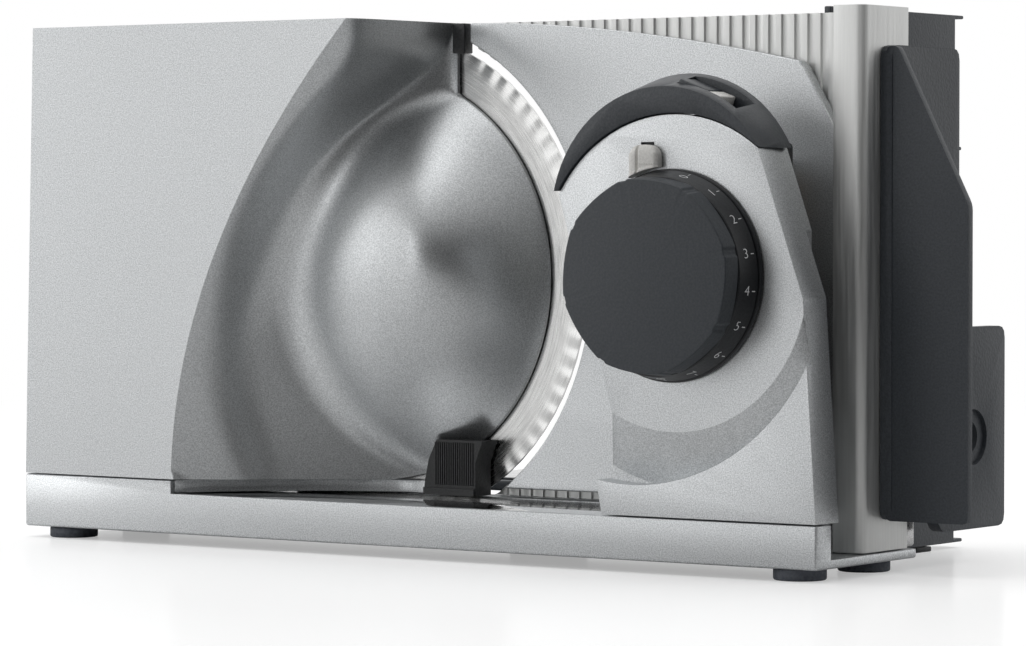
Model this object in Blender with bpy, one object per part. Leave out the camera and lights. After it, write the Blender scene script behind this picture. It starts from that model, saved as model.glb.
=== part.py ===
# Household food slicer with a vertical round blade. Metres, +Z up.
# The model is laid out from the middle of the base's front edge, on the table: X runs along the
# machine, Y from the operator's side to the food side. At the end everything is moved, so that
# the origin lies on the table under the middle of the whole machine.

import math

import bmesh
import bpy
from mathutils import Matrix, Vector

# Clearances
GAP = 0.0003
RUNNING_GAP = 0.0006

# Base
BASE_LENGTH = 0.3285
BASE_DEPTH = 0.0625
BASE_BOTTOM = 0.0040
BASE_WALL = 0.0030
DECK_TOP = 0.0179
SEAT_TOP = 0.0226
STEP_X = -0.0968
EDGE_ROUND = 0.0008
NOTCH_Y = 0.0090
LEDGE_TOP = 0.0070
BOTTOM_PLATE = 0.0016
TRAY_RIM = 0.0030
TRAY_SHEET = 0.0006
TRAY_RECESS = 0.0010
FOOT_RADIUS = 0.0085
FOOT_INSET_X = 0.0130
FOOT_INSET_Y = 0.0115
BASE_SCREW_RADIUS = 0.0030
BASE_SCREW_SHARE = 0.7
DECK_SHEET = 0.0020
TRAY_SEAT = 0.0002
TRAY_LEFT_RIM = 0.0025
TRAY_RIGHT_RIM = 0.0010
TRAY_UNDER_PANEL = 0.0020

# Blade and its drive
BLADE_RADIUS = 0.0850
BLADE_X = -0.0447
BLADE_Z = 0.0931
BLADE_FROM_BACK = 0.0079
BLADE_SHEET = 0.0012
BLADE_TEETH = 76
TOOTH_DEPTH = 0.0016
BLADE_SLOT_GAP = 0.0015
BLADE_SLOT_SIDE = 0.0007
AXLE_RADIUS = 0.0050
AXLE_NEAR = 0.0305
HUB_RADIUS = 0.0200
BLADE_SCREW_CIRCLE = 0.0135
BLADE_SCREW_RADIUS = 0.0026
GEAR_MODULE = 0.0010
GEAR_TEETH = 72
IDLER_SMALL_TEETH = 16
IDLER_MODULE = 0.0008
IDLER_LARGE_TEETH = 48
PINION_TEETH = 14
GEAR_TIP = 0.85
GEAR_ROOT = 1.10
GEAR_WIDTH = 0.0055
IDLER_WIDTH = 0.0040
IDLER_PIN_RADIUS = 0.0025
GEAR_SPACE = 0.0010
WELL_GAP = 0.0015
MOTOR_RADIUS = 0.0250
MOTOR_NEAR = 0.0082
MOTOR_WELL_GAP = 0.0030
MOTOR_BOSS = 0.0060
MOTOR_ANGLE = 30.0
MOUNT_SHEET = 0.0020
ROTOR_RADIUS = 0.0025
FAN_RADIUS = 0.0200
FAN_ROOT = 0.0075
FAN_NEAR = 0.0048
FAN_FAR = 0.0076
FAN_BLADES = 9
COVER_RADIUS = 0.0520
COVER_SHEET = 0.0012
LOCK_RADIUS = 0.0130
LOCK_FLANGE = 0.0160
LOCK_PROUD = 0.0016
LOCK_SLOT_LENGTH = 0.0200
LOCK_SLOT_WIDTH = 0.0024

# Motor housing
HOUSING_TOP = 0.1806
HOUSING_LEAN = 0.0040
HOUSING_WALL = 0.0035
HOUSING_RIM_RADIUS = 0.0709
HOUSING_RIM = 0.0015
HOUSING_TOP_EDGE_X = -0.0120
CREASE_LOW_Z = 0.0200
CREASE_SWEEP = 0.0767
DOME_HEIGHT = 0.0340
DOME_X = -0.0080
DOME_Z = 0.1010
DOME_FULLNESS = 1.20
FLANK_SLOPE = 0.95
FLANK_EASE = 0.30
FLANK_EASE_Z = 0.0780
FLANK_EASE_REACH = 0.0100
STEEP_Z = 0.1120
STEEP_REACH = 0.0048
STEEP_SPREAD = 2.6
STEEP_WIDTH_SHARE = 0.62
STEEP_DEPTH = 0.0110
STEEP_GROWTH = 8.5
STEEP_FADE = 0.8
STEEP_SOFTNESS = 0.0016
STEEP_CRISPER = 0.013
STEEP_CRISPEST = 0.0008
STEEP_BAND = 0.0160
VALLEY_BLEND = 0.0110
VALLEY_BLEND_LEAST = 0.0030
SKIRT_DEPTH_END = 0.0640
SKIRT_BOW = 0.0430
SKIRT_RISE = 1.2
SKIRT_BLEND = 0.0050
SKIRT_STEP = 0.0012
CAVITY_WALL = 0.0088
LID_SHEET = 0.0024
LID_RADIUS = 0.0450
GEAR_WELL_RADIUS = 0.0400
LID_RIM = 0.0036
BACK_COVER_SHEET = 0.0036
BACK_COVER_ARC_GAP = 0.0022

# Scraper and slot guard
SCRAPER_NEAR = 0.0440
SCRAPER_TOP = 0.0374
SCRAPER_LEFT = -0.0204
SCRAPER_RIGHT = 0.0044
SCRAPER_SHOULDER = 0.0142
SCRAPER_SLANT = 0.0054
SCRAPER_NOSE = 0.0074
SCRAPER_HOOK = 0.0030
SCRAPER_RIBS = 11
SCRAPER_RIB_WIDTH = 0.0007
SCRAPER_RIB_DEPTH = 0.0005
SCRAPER_GAP = 0.0004
GUARD_NEAR = 0.0490
GUARD_HEIGHT = 0.0106

# Stop plate and the panel in front of it
FOOD_STEP = 0.0027
WEB_SHEET = 0.0035
WEB_BOTTOM = 0.0185
WEB_TOP_STEP = 0.0002
WEB_LEFT = -0.0050
WEB_ARC_GAP = 0.0030
RIB_PITCH = 0.0050
RIB_DEPTH = 0.0007
LEG_WIDTH = 0.0112
LEG_RIGHT = 0.1635
LEG_NEAR_Y = 0.0295
LEG_EDGE = 0.0010
LEG_WALL = 0.0030
LEG_ROUND = 0.0032
LEG_BOTTOM = 0.0075
LEG_TOP_STEP = 0.0008
PANEL_SHEET = 0.0046
PANEL_BOTTOM = 0.0212
PANEL_TOP_STEP = 0.0003
PANEL_FALL = 0.0154
PANEL_CORNER_X = 0.1270
PANEL_CORNER = 0.0020
PANEL_SIDE_SLOPE = 1.70
PANEL_RIGHT = 0.1480
PANEL_ARC_GAP = 0.0048
STOP_TRAVEL = 0.0150
BRACKET_HALF = 0.0115
BRACKET_END = 0.0090

# Thickness control
KNOB_X = 0.1110
KNOB_Z = 0.0955
KNOB_FRONT = -0.0176
SKIRT_RADIUS = 0.0340
SKIRT_FRONT_RADIUS = 0.0315
SKIRT_DEPTH = 0.0110
KNOB_RADIUS = 0.0322
KNOB_SIDES = 8
KNOB_TURN_START = 14.5
STEM_RADIUS = 0.0230
SKIRT_REAR = 0.0004
KNOB_CORNER = 0.0040
SPINDLE_NEAR = 0.0120
SPINDLE_RADIUS = 0.0045
NUT_RADIUS = 0.0080
NUT_NEAR = 0.0200
ROD_RADIUS = 0.0040
ROD_REACH = 0.0295
BUSHING_WALL = 0.0027
BUSHING_LENGTH = 0.0080

# Tower that carries the knob
TOWER_DEPTH = 0.0175
TOWER_WALL = 0.0030
TOWER_FOOT_GAP = 0.0005
TOWER_BEND_Z = 0.0512
TOWER_BEND_X = 0.0876
TOWER_FLARE_Z = 0.0313
TOWER_FLARE_X = 0.0810
TOWER_SHOULDER_X = 0.0664
TOWER_FOOT_SLOPE = 0.19
TOWER_RIGHT_X = 0.1592
TOWER_ROOM = 0.0310
SHAFT_LEFT = 0.0960
SHAFT_RIGHT = 0.1240
SHAFT_LOW = 0.0385
SHAFT_HIGH = 0.0435
FACE_RADIUS = 0.0513
FACE_LOW_RADIUS = 0.0486
SCOOP_X = 0.0950
SCOOP_Z = 0.1023
SCOOP_RADIUS = 0.0740
SCOOP_DEPTH = 0.0090
SCOOP_SPREAD = 0.0190
SCOOP_TOP_Z = 0.0888
BOX_LEFT = 0.0840
BOX_RIGHT = 0.1390
BOX_LOW = 0.0400
BOX_HIGH = 0.1380
BOX_DEPTH = 0.0102
BOX_WALL = 0.0025
HOOD_X = 0.1070
HOOD_Z = 0.1130
HOOD_RADIUS = 0.0428
HOOD_LIFT = 0.0045
HOOD_SHIFT = 0.0010
HOOD_FRONT = -0.0008
HOOD_BACK = 0.0170
HOOD_LEFT_Z = 0.1225
HOOD_RIGHT_Z = 0.1360
HOOD_GAP = 0.0005
WELL_TURN = 20.5
WELL_LENGTH = 0.0240
WELL_WIDTH = 0.0100
WELL_DEPTH = 0.0050
BUTTON_LENGTH = 0.0110
BUTTON_SUNK = 0.0012
SLIDER_LENGTH = 0.0050
SLIDER_SUNK = 0.0014
PRESS_TRAVEL = 0.0015
SWITCH_FROM_BOX = 0.0322
SWITCH_WIDTH = 0.0075
SWITCH_NEAR = 0.0052
SWITCH_FAR = 0.0150
SWITCH_LOW = 0.0350
SWITCH_HEIGHT = 0.0080
TAB_WIDTH = 0.0115
TAB_HEIGHT = 0.0056
TAB_X = 0.1012
TAB_PROUD = 0.0036
TAB_GAP = 0.0006
TAB_STEM = 0.0044
TAB_STEM_EDGE = 0.0010
TAB_CATCH = 0.0016
TAB_TRAVEL = 0.0030

# Carriage
RAIL_LEFT = -0.1470
RAIL_RIGHT = 0.1580
RAIL_DEPTH = 0.0092
RAIL_BOTTOM = 0.0070
RAIL_TOP = 0.0160
RUNNER_LEFT = 0.0100
RUNNER_RIGHT = 0.1180
FLOOR_LEFT = -0.0300
FLOOR_SHEET = 0.0035
CARRIAGE_GAP = 0.0007
RUNNER_SHEET = 0.0026
RUNNER_OVER = 0.0045
WALL_RIGHT = 0.1310
WALL_SHEET = 0.0025
CARRIAGE_WIDTH = 0.0828
WALL_BOTTOM = 0.0020
WALL_TOP_STEP = 0.0024
RIM_REACH = 0.0057
RIM_SHEET = 0.0012
RIM_EDGE = 0.0022
RIM_MIDDLE_Z = 0.1368
INSERT_SHEET = 0.0006
INSERT_SIDE = 0.0060
FOOT_FROM_NEAR = 0.0573
FOOT_WIDTH = 0.0100
SKID_LENGTH = 0.0438
SKID_SHEET = 0.0060

# Remnant holder parked on the stop plate's leg
HOLDER_SHEET = 0.0042
HOLDER_OVER_LEG = 0.0190
HOLDER_LOW = 0.0174
HOLDER_TOP = 0.1688
HOLDER_UPPER_REACH = 0.0245
HOLDER_STEP_Z = 0.0780
HOLDER_LOWER_REACH = 0.0555
HOLDER_BOTTOM = 0.0117
HOLDER_TOE = 0.0135
HOLDER_CORNER = 0.0040
HOLDER_REACH = 0.1955
GUARD_SHEET = 0.0032
GUARD_BEND_Z = 0.1180
GUARD_CORNER = 0.0018
CLIP_REACH = 0.0065
CLIP_SHEET = 0.0026
CLIP_LOW = 0.0900
CLIP_HIGH = 0.1120
SPIKE_STRIP_Y = 0.0105
SPIKE_STRIP_WIDTH = 0.0110
SPIKE_STRIP_LOW = 0.0930
SPIKE_STRIP_HIGH = 0.1430
SPIKE_STRIP_SHEET = 0.0010
SPIKE_RADIUS = 0.0010
SPIKE_LENGTH = 0.0032
THUMB_REACH = 0.0342
THUMB_Z = 0.0418
THUMB_RADIUS = 0.0052
DISH_RADIUS = 0.0092
DISH_DEPTH = 0.0014

# Socket where a lead would enter
GLAND_RADIUS = 0.0052
GLAND_X = -0.1558
GLAND_Z = 0.0098
GLAND_LENGTH = 0.0057
GLAND_TAPER = 0.0008

# Worked out from the sizes above
FAR = 0.05
HALF = BASE_LENGTH / 2
BLADE_Y = BASE_DEPTH - BLADE_FROM_BACK
FOOD_Y = BLADE_Y + BLADE_SHEET + FOOD_STEP
PANEL_Y = BLADE_Y - PANEL_SHEET
PANEL_TOP = HOUSING_TOP - PANEL_TOP_STEP
WEB_TOP = HOUSING_TOP - WEB_TOP_STEP
LEG_TOP = HOUSING_TOP + LEG_TOP_STEP
LEG_LEFT = LEG_RIGHT - LEG_WIDTH
WALL_TOP = HOUSING_TOP + WALL_TOP_STEP
CARRIAGE_NEAR = BASE_DEPTH + CARRIAGE_GAP
WALL_FAR = CARRIAGE_NEAR + CARRIAGE_WIDTH
HOLDER_NEAR = FOOD_Y - HOLDER_OVER_LEG
HOLDER_UPPER_FAR = FOOD_Y + HOLDER_UPPER_REACH
HOLDER_FAR = FOOD_Y + HOLDER_LOWER_REACH
THUMB_Y = FOOD_Y + THUMB_REACH
HOUSING_BOTTOM = SEAT_TOP + GAP
HOUSING_BACK = BLADE_Y - 2 * GAP
WEB_Y = FOOD_Y - WEB_SHEET
WEB_ARC = BLADE_RADIUS + WEB_ARC_GAP
PANEL_ARC = BLADE_RADIUS + PANEL_ARC_GAP
IDLER_X = BLADE_X - GEAR_MODULE * (GEAR_TEETH + IDLER_SMALL_TEETH) / 2
IDLER_Z = BLADE_Z
MOTOR_REACH = IDLER_MODULE * (IDLER_LARGE_TEETH + PINION_TEETH) / 2
MOTOR_X = IDLER_X - MOTOR_REACH * math.cos(math.radians(MOTOR_ANGLE))
MOTOR_Z = IDLER_Z + MOTOR_REACH * math.sin(math.radians(MOTOR_ANGLE))
LID_Y = HOUSING_BACK - LID_SHEET - GAP / 3
GEAR_BACK = LID_Y - WELL_GAP
GEAR_NEAR = GEAR_BACK - GEAR_WIDTH
IDLER_BACK = GEAR_NEAR - GEAR_SPACE
IDLER_NEAR = IDLER_BACK - IDLER_WIDTH
MOUNT_Y = IDLER_NEAR - WELL_GAP - MOUNT_SHEET
BOX_FAR = TOWER_DEPTH + GAP + BOX_DEPTH
RAIL_FAR = BASE_DEPTH + GAP + RAIL_DEPTH
COVER_Y = FOOD_Y - COVER_SHEET
CENTRE_X = (HOLDER_REACH - HALF) / 2
CENTRE_Y = (KNOB_FRONT + WALL_FAR + RIM_REACH) / 2

# Clean scene and collections
for old in list(bpy.data.objects):
    bpy.data.objects.remove(old, do_unlink=True)
MACHINE = bpy.data.collections.new("food_slicer")
CUTTERS = bpy.data.collections.new("cutters")
bpy.context.scene.collection.children.link(MACHINE)
bpy.context.scene.collection.children.link(CUTTERS)


def material(name, colour, roughness, metallic=0.0):
    """One plain finish with the piece's own colour."""
    finish = bpy.data.materials.new(name)
    finish.use_nodes = True
    shader = finish.node_tree.nodes["Principled BSDF"]
    shader.inputs["Base Color"].default_value = (*colour, 1.0)
    shader.inputs["Roughness"].default_value = roughness
    shader.inputs["Metallic"].default_value = metallic
    return finish


SILVER = (0.55, 0.56, 0.57)
ALUMINIUM = (0.66, 0.66, 0.64)
STEEL = (0.62, 0.62, 0.61)
SLATE = (0.055, 0.065, 0.078)
CHARCOAL = (0.040, 0.045, 0.050)
BLACK = (0.015, 0.016, 0.018)
CREAM = (0.72, 0.70, 0.64)
BRONZE = (0.45, 0.28, 0.12)
NYLON = (0.80, 0.78, 0.70)


def keep(name, mesh, colour, roughness, metallic=0.0, smooth=None):
    """Make the named object of one piece, with its own material."""
    piece = bpy.data.objects.new(name, mesh)
    mesh.materials.clear()
    mesh.materials.append(material(name, colour, roughness, metallic))
    MACHINE.objects.link(piece)
    if smooth is not None:
        mesh.shade_smooth()
        mesh.set_sharp_from_angle(angle=math.radians(smooth))
    return piece


def as_cutter(mesh):
    """A hidden object that only cuts other pieces."""
    cutter = bpy.data.objects.new("cutter", mesh)
    CUTTERS.objects.link(cutter)
    cutter.hide_render = True
    cutter.display_type = "WIRE"
    return cutter


def cut(piece, mesh, operation="DIFFERENCE"):
    """Cut a mesh out of a piece, or join it on."""
    step = piece.modifiers.new("cut", "BOOLEAN")
    step.operation = operation
    step.solver = "EXACT"
    step.object = as_cutter(mesh)
    return piece


def block(low, high, rounding=0.0):
    """A box between two corners, with its edges broken if asked."""
    mesh = bpy.data.meshes.new("block")
    shape = bmesh.new()
    bmesh.ops.create_cube(shape, size=1.0)
    size = [high[i] - low[i] for i in range(3)]
    middle = [(high[i] + low[i]) / 2 for i in range(3)]
    bmesh.ops.scale(shape, vec=size, verts=shape.verts)
    bmesh.ops.translate(shape, vec=middle, verts=shape.verts)
    if rounding:
        bmesh.ops.bevel(shape, geom=shape.edges, offset=rounding, segments=2, profile=0.5,
                        affect="EDGES")
    shape.to_mesh(mesh)
    shape.free()
    return mesh


def turned(radius_near, radius_far, near, far, x, z, sides=48, turn=0.0):
    """A round or many-sided bar along Y, which may taper."""
    mesh = bpy.data.meshes.new("turned")
    shape = bmesh.new()
    bmesh.ops.create_cone(shape, cap_ends=True, segments=sides, radius1=radius_far,
                          radius2=radius_near, depth=far - near)
    spin = Matrix.Rotation(math.radians(turn), 4, "Z")
    lay = Matrix.Rotation(math.radians(90), 4, "X")
    place = Matrix.Translation((x, (near + far) / 2, z))
    bmesh.ops.transform(shape, matrix=place @ lay @ spin, verts=shape.verts)
    shape.to_mesh(mesh)
    shape.free()
    return mesh


def bar_x(radius, left, right, y, z, sides=24):
    """A round bar along X."""
    mesh = bpy.data.meshes.new("bar")
    shape = bmesh.new()
    bmesh.ops.create_cone(shape, cap_ends=True, segments=sides, radius1=radius, radius2=radius,
                          depth=right - left)
    lay = Matrix.Rotation(math.radians(90), 4, "Y")
    place = Matrix.Translation(((left + right) / 2, y, z))
    bmesh.ops.transform(shape, matrix=place @ lay, verts=shape.verts)
    shape.to_mesh(mesh)
    shape.free()
    return mesh


def outline_mesh(points, low, high, plane):
    """A flat outline as a filled curve of the given thickness, made a closed mesh.

    In plane XZ the thickness runs along Y, in plane XY along Z, in plane YZ along X.
    """
    curve = bpy.data.curves.new("outline", "CURVE")
    curve.dimensions = "2D"
    curve.fill_mode = "BOTH"
    curve.extrude = (high - low) / 2
    spline = curve.splines.new("POLY")
    spline.points.add(len(points) - 1)
    for place, (u, v) in zip(spline.points, points):
        place.co = (u, v, 0, 1)
    spline.use_cyclic_u = True
    flat = bpy.data.objects.new("outline", curve)
    bpy.context.scene.collection.objects.link(flat)
    middle = (low + high) / 2
    if plane == "XZ":
        flat.matrix_world = Matrix.Translation((0, middle, 0)) @ Matrix.Rotation(math.pi / 2, 4, "X")
    elif plane == "YZ":
        turn = Matrix(((0, 0, 1, 0), (1, 0, 0, 0), (0, 1, 0, 0), (0, 0, 0, 1)))
        flat.matrix_world = Matrix.Translation((middle, 0, 0)) @ turn
    else:
        flat.matrix_world = Matrix.Translation((0, 0, middle))
    bpy.context.view_layer.update()
    ready = flat.evaluated_get(bpy.context.evaluated_depsgraph_get())
    mesh = bpy.data.meshes.new_from_object(ready)
    mesh.transform(flat.matrix_world)
    bpy.data.objects.remove(flat, do_unlink=True)
    shape = bmesh.new()
    shape.from_mesh(mesh)
    bmesh.ops.remove_doubles(shape, verts=shape.verts, dist=0.00002)
    bmesh.ops.recalc_face_normals(shape, faces=shape.faces)
    shape.to_mesh(mesh)
    shape.free()
    return mesh


def arc(x, z, radius, start, end, steps):
    """Points along an arc, angles in degrees."""
    points = []
    for i in range(steps + 1):
        angle = math.radians(start + (end - start) * i / steps)
        points.append((x + radius * math.cos(angle), z + radius * math.sin(angle)))
    return points


def rounded(points, radius, steps=3):
    """The same outline with every corner rounded."""
    result = []
    for i, corner in enumerate(points):
        here = Vector(corner)
        back = Vector(points[i - 1]) - here
        ahead = Vector(points[(i + 1) % len(points)]) - here
        reach = min(radius, back.length / 2.2, ahead.length / 2.2)
        start = here + back.normalized() * reach
        end = here + ahead.normalized() * reach
        for k in range(steps + 1):
            t = k / steps
            place = start * (1 - t) ** 2 + here * (2 * t * (1 - t)) + end * t ** 2
            result.append((place.x, place.y))
    return result


def grown(points, reach):
    """The same outline with every side moved outwards by the reach."""
    count = len(points)
    area = 0.0
    for i in range(count):
        area += points[i - 1][0] * points[i][1] - points[i][0] * points[i - 1][1]
    side = 1 if area > 0 else -1
    result = []
    for i in range(count):
        here = Vector(points[i])
        before = (here - Vector(points[i - 1])).normalized()
        after = (Vector(points[(i + 1) % count]) - here).normalized()
        out_before = Vector((before.y, -before.x)) * side
        out_after = Vector((after.y, -after.x)) * side
        middle = (out_before + out_after).normalized()
        place = here + middle * (reach / max(middle.dot(out_before), 0.4))
        result.append((place.x, place.y))
    return result


def gear_outline(x, z, module, teeth, turn=0.0):
    """Spur gear outline with trapezoid teeth. The first tooth points at the given angle."""
    pitch_radius = module * teeth / 2
    tip = pitch_radius + GEAR_TIP * module
    root = pitch_radius - GEAR_ROOT * module
    points = []
    for i in range(teeth):
        middle = turn + 360.0 * i / teeth
        step = 360.0 / teeth
        for offset, radius in ((-0.30, root), (-0.11, tip), (0.11, tip), (0.30, root)):
            angle = math.radians(middle + offset * step)
            points.append((x + radius * math.cos(angle), z + radius * math.sin(angle)))
    return points


def empty_at(name, place, parent=None):
    """The joint that a group of pieces turns or slides on."""
    joint = bpy.data.objects.new(name, None)
    MACHINE.objects.link(joint)
    joint.location = place
    bpy.context.view_layer.update()
    if parent is not None:
        joint.parent = parent
        joint.matrix_parent_inverse = parent.matrix_world.inverted()
        bpy.context.view_layer.update()
    return joint


def ride(joint, *pieces):
    """Hang pieces on a joint where they stand."""
    for piece in pieces:
        piece.parent = joint
        piece.matrix_parent_inverse = joint.matrix_world.inverted()


# Base: a shell with a hollow underneath, a raised seat for the housing, and a notch at the
# right end for the stop plate's leg.
def make_base():
    shell = keep("base_shell", block((-HALF, 0, BASE_BOTTOM), (HALF, BASE_DEPTH, SEAT_TOP),
                                     EDGE_ROUND), SILVER, 0.38, 0.6, smooth=40)
    cut(shell, block((STEP_X, -FAR, DECK_TOP), (HALF + FAR, BASE_DEPTH + FAR, DECK_TOP + FAR)))
    cut(shell, block((LEG_LEFT - RUNNING_GAP, NOTCH_Y, LEDGE_TOP),
                     (HALF + FAR, BASE_DEPTH + FAR, DECK_TOP + FAR)))
    inner_right = LEG_LEFT - RUNNING_GAP - BASE_WALL
    low_top = DECK_TOP - TRAY_RECESS - DECK_SHEET
    cut(shell, block((-HALF + BASE_WALL, BASE_WALL, BASE_BOTTOM - FAR),
                     (inner_right, BASE_DEPTH - BASE_WALL, low_top)))
    cut(shell, block((-HALF + BASE_WALL, BASE_WALL, low_top - GAP),
                     (STEP_X - BASE_WALL, BASE_DEPTH - BASE_WALL, SEAT_TOP - BASE_WALL)))
    tray_right = tower_edge_left(DECK_TOP) - TRAY_RIGHT_RIM
    tray_left = STEP_X + TRAY_LEFT_RIM
    tray_far = PANEL_Y + TRAY_UNDER_PANEL
    tray_low = DECK_TOP - TRAY_RECESS + TRAY_SEAT
    cut(shell, block((tray_left, TRAY_RIM, DECK_TOP - TRAY_RECESS),
                     (tray_right, tray_far, DECK_TOP + FAR)))
    slot = BLADE_RADIUS + BLADE_SLOT_GAP
    cut(shell, turned(slot, slot, BLADE_Y - BLADE_SLOT_SIDE,
                      BLADE_Y + BLADE_SHEET + BLADE_SLOT_SIDE, BLADE_X, BLADE_Z, 120))
    keep("tray_plate", block((tray_left + GAP, TRAY_RIM + GAP, tray_low),
                             (tray_right - GAP, tray_far - GAP, tray_low + TRAY_SHEET)),
         STEEL, 0.12, 1.0)
    plate_top = BASE_BOTTOM + BOTTOM_PLATE
    plate = keep("base_bottom_plate",
                 block((-HALF + BASE_WALL + GAP, BASE_WALL + GAP, BASE_BOTTOM),
                       (inner_right - GAP, BASE_DEPTH - BASE_WALL - GAP, plate_top)),
                 BLACK, 0.6)
    for side, x in (("left", -BASE_SCREW_SHARE * HALF), ("right", BASE_SCREW_SHARE * HALF)):
        y = BASE_DEPTH / 2
        cut(plate, upright(BASE_SCREW_RADIUS + GAP, BASE_BOTTOM - FAR, plate_top + FAR, x, y))
        keep("base_screw_" + side, upright(BASE_SCREW_RADIUS, BASE_BOTTOM + GAP, plate_top, x, y,
                                           12), STEEL, 0.35, 1.0)
    for side, x in (("left", -HALF + FOOT_INSET_X), ("right", HALF - FOOT_INSET_X)):
        for row, y in (("front", FOOT_INSET_Y), ("back", BASE_DEPTH - FOOT_INSET_Y)):
            keep("foot_" + row + "_" + side, upright(FOOT_RADIUS, 0.0, BASE_BOTTOM - GAP, x, y),
                 SLATE, 0.8)


def upright(radius, low, high, x, y, sides=24):
    """A round bar along Z."""
    mesh = bpy.data.meshes.new("upright")
    shape = bmesh.new()
    bmesh.ops.create_cone(shape, cap_ends=True, segments=sides, radius1=radius, radius2=radius,
                          depth=high - low)
    bmesh.ops.translate(shape, vec=(x, y, (low + high) / 2), verts=shape.verts)
    shape.to_mesh(mesh)
    shape.free()
    return mesh


# Tower outline: its left side leans in towards the foot, its top is the round face and its
# right side falls straight from the face to the foot.
def tower_edge_left(z):
    """X of the tower's left edge at a height."""
    if z < TOWER_FLARE_Z:
        return TOWER_FLARE_X + (TOWER_FLARE_Z - z) * TOWER_FOOT_SLOPE
    if z < TOWER_BEND_Z:
        share = (z - TOWER_FLARE_Z) / (TOWER_BEND_Z - TOWER_FLARE_Z)
        return TOWER_FLARE_X + (TOWER_BEND_X - TOWER_FLARE_X) * share
    share = (z - TOWER_BEND_Z) / (HOOD_LEFT_Z - TOWER_BEND_Z)
    return TOWER_BEND_X + (TOWER_SHOULDER_X - TOWER_BEND_X) * share


def tower_outline():
    bottom = DECK_TOP + TOWER_FOOT_GAP
    shoulder = HOOD_LEFT_Z - 2 * HOOD_GAP
    heights = (bottom, TOWER_FLARE_Z, TOWER_BEND_Z, shoulder)
    left = [(tower_edge_left(z), z) for z in heights]
    start = math.degrees(math.asin((shoulder + HOOD_GAP - KNOB_Z) / FACE_RADIUS))
    top = arc(KNOB_X, KNOB_Z, FACE_RADIUS, 180 - start, 52.0, 22)
    right = [(TOWER_RIGHT_X, SCOOP_TOP_Z), (HALF - GAP, bottom)]
    return left + top + right


# Housing surface: flat on the left up to the crease. Right of it a flank slopes back with a
# steeper band in it, and a dome over the gear rises from the valley at its foot and falls to
# the blade. A skirt closes the bottom.
def crease_x(z):
    """X of the crease at a height: a parabola that leans to the right."""
    rise = (z - CREASE_LOW_Z) / (HOUSING_TOP - CREASE_LOW_Z)
    return STEP_X + CREASE_SWEEP * rise ** 2


def rim_x(z):
    """X of the housing's right rim: the arc inside the blade's ring, then straight up."""
    height = z - BLADE_Z
    if abs(height) < HOUSING_RIM_RADIUS:
        x = BLADE_X + math.sqrt(HOUSING_RIM_RADIUS ** 2 - height ** 2)
        if height < 0 or x > HOUSING_TOP_EDGE_X:
            return x
    return HOUSING_TOP_EDGE_X


def left_x(z):
    """X of the housing's left side, which leans in a little."""
    share = (z - HOUSING_BOTTOM) / (HOUSING_TOP - HOUSING_BOTTOM)
    return -HALF + GAP + HOUSING_LEAN * share


def smooth_nearer(first, second, blend):
    """The nearer of two depths, with a round transition as wide as the blend."""
    mix = min(max(0.5 + 0.5 * (second - first) / blend, 0.0), 1.0)
    return second * (1 - mix) + first * mix - blend * mix * (1 - mix)


def steep_reach(z):
    """How far right of the crease the middle of the steep band lies at a height. It keeps
    inside the width that the housing has there."""
    wanted = STEEP_REACH + STEEP_SPREAD * (z - STEEP_Z) ** 2
    most = STEEP_WIDTH_SHARE * (rim_x(z) - crease_x(z))
    return (wanted ** -4 + most ** -4) ** -0.25


def flank_y(x, z):
    """Depth of the sloping flank behind the crease with the steep band in it."""
    reach = max(x - crease_x(z), 0.0)
    above = max(z - STEEP_Z, 0.0)
    below = max(STEEP_Z - z, 0.0)
    ease = FLANK_EASE / (1 + math.exp((z - FLANK_EASE_Z) / FLANK_EASE_REACH))
    depth = max(STEEP_DEPTH + STEEP_GROWTH * above ** 2 - STEEP_FADE * below ** 2, 0.0)
    soft = max(STEEP_SOFTNESS - STEEP_CRISPER * above, STEEP_CRISPEST)
    start = 1 / (1 + math.exp(steep_reach(z) / soft))
    share = 1 / (1 + math.exp((steep_reach(z) - reach) / soft))
    return (FLANK_SLOPE - ease) * reach + depth * (share - start) / (1 - start)


def dome_share(x, z):
    """How far down the dome a point lies, as circles that grow from its top to the rim."""
    from_top = Vector((x - DOME_X, z - DOME_Z))
    drift = Vector((BLADE_X - DOME_X, BLADE_Z - DOME_Z))
    square = HOUSING_RIM_RADIUS ** 2 - drift.length_squared
    half = from_top.dot(drift)
    grown_to = (math.sqrt(half ** 2 + square * from_top.length_squared) - half) / square
    return max(1 - grown_to ** 2, 0.0)


def skirt_y(x, z):
    """Depth of the skirt along the bottom, in plan a bowed line from the crease to the blade."""
    run = max(x - STEP_X, 0.0)
    plan = SKIRT_DEPTH_END * (1 - math.exp(-run / SKIRT_BOW))
    return plan + (z - SEAT_TOP) * SKIRT_RISE


def surface_y(x, z):
    """Depth of the sculpted front surface right of the crease."""
    edge = HOUSING_BACK - HOUSING_RIM
    share = dome_share(x, z)
    dome = edge - DOME_HEIGHT * share ** DOME_FULLNESS
    body = smooth_nearer(flank_y(x, z), dome, VALLEY_BLEND * share + VALLEY_BLEND_LEAST)
    near = smooth_nearer(body, skirt_y(x, z), SKIRT_BLEND)
    return min(max(near, 0.0), edge)


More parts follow.
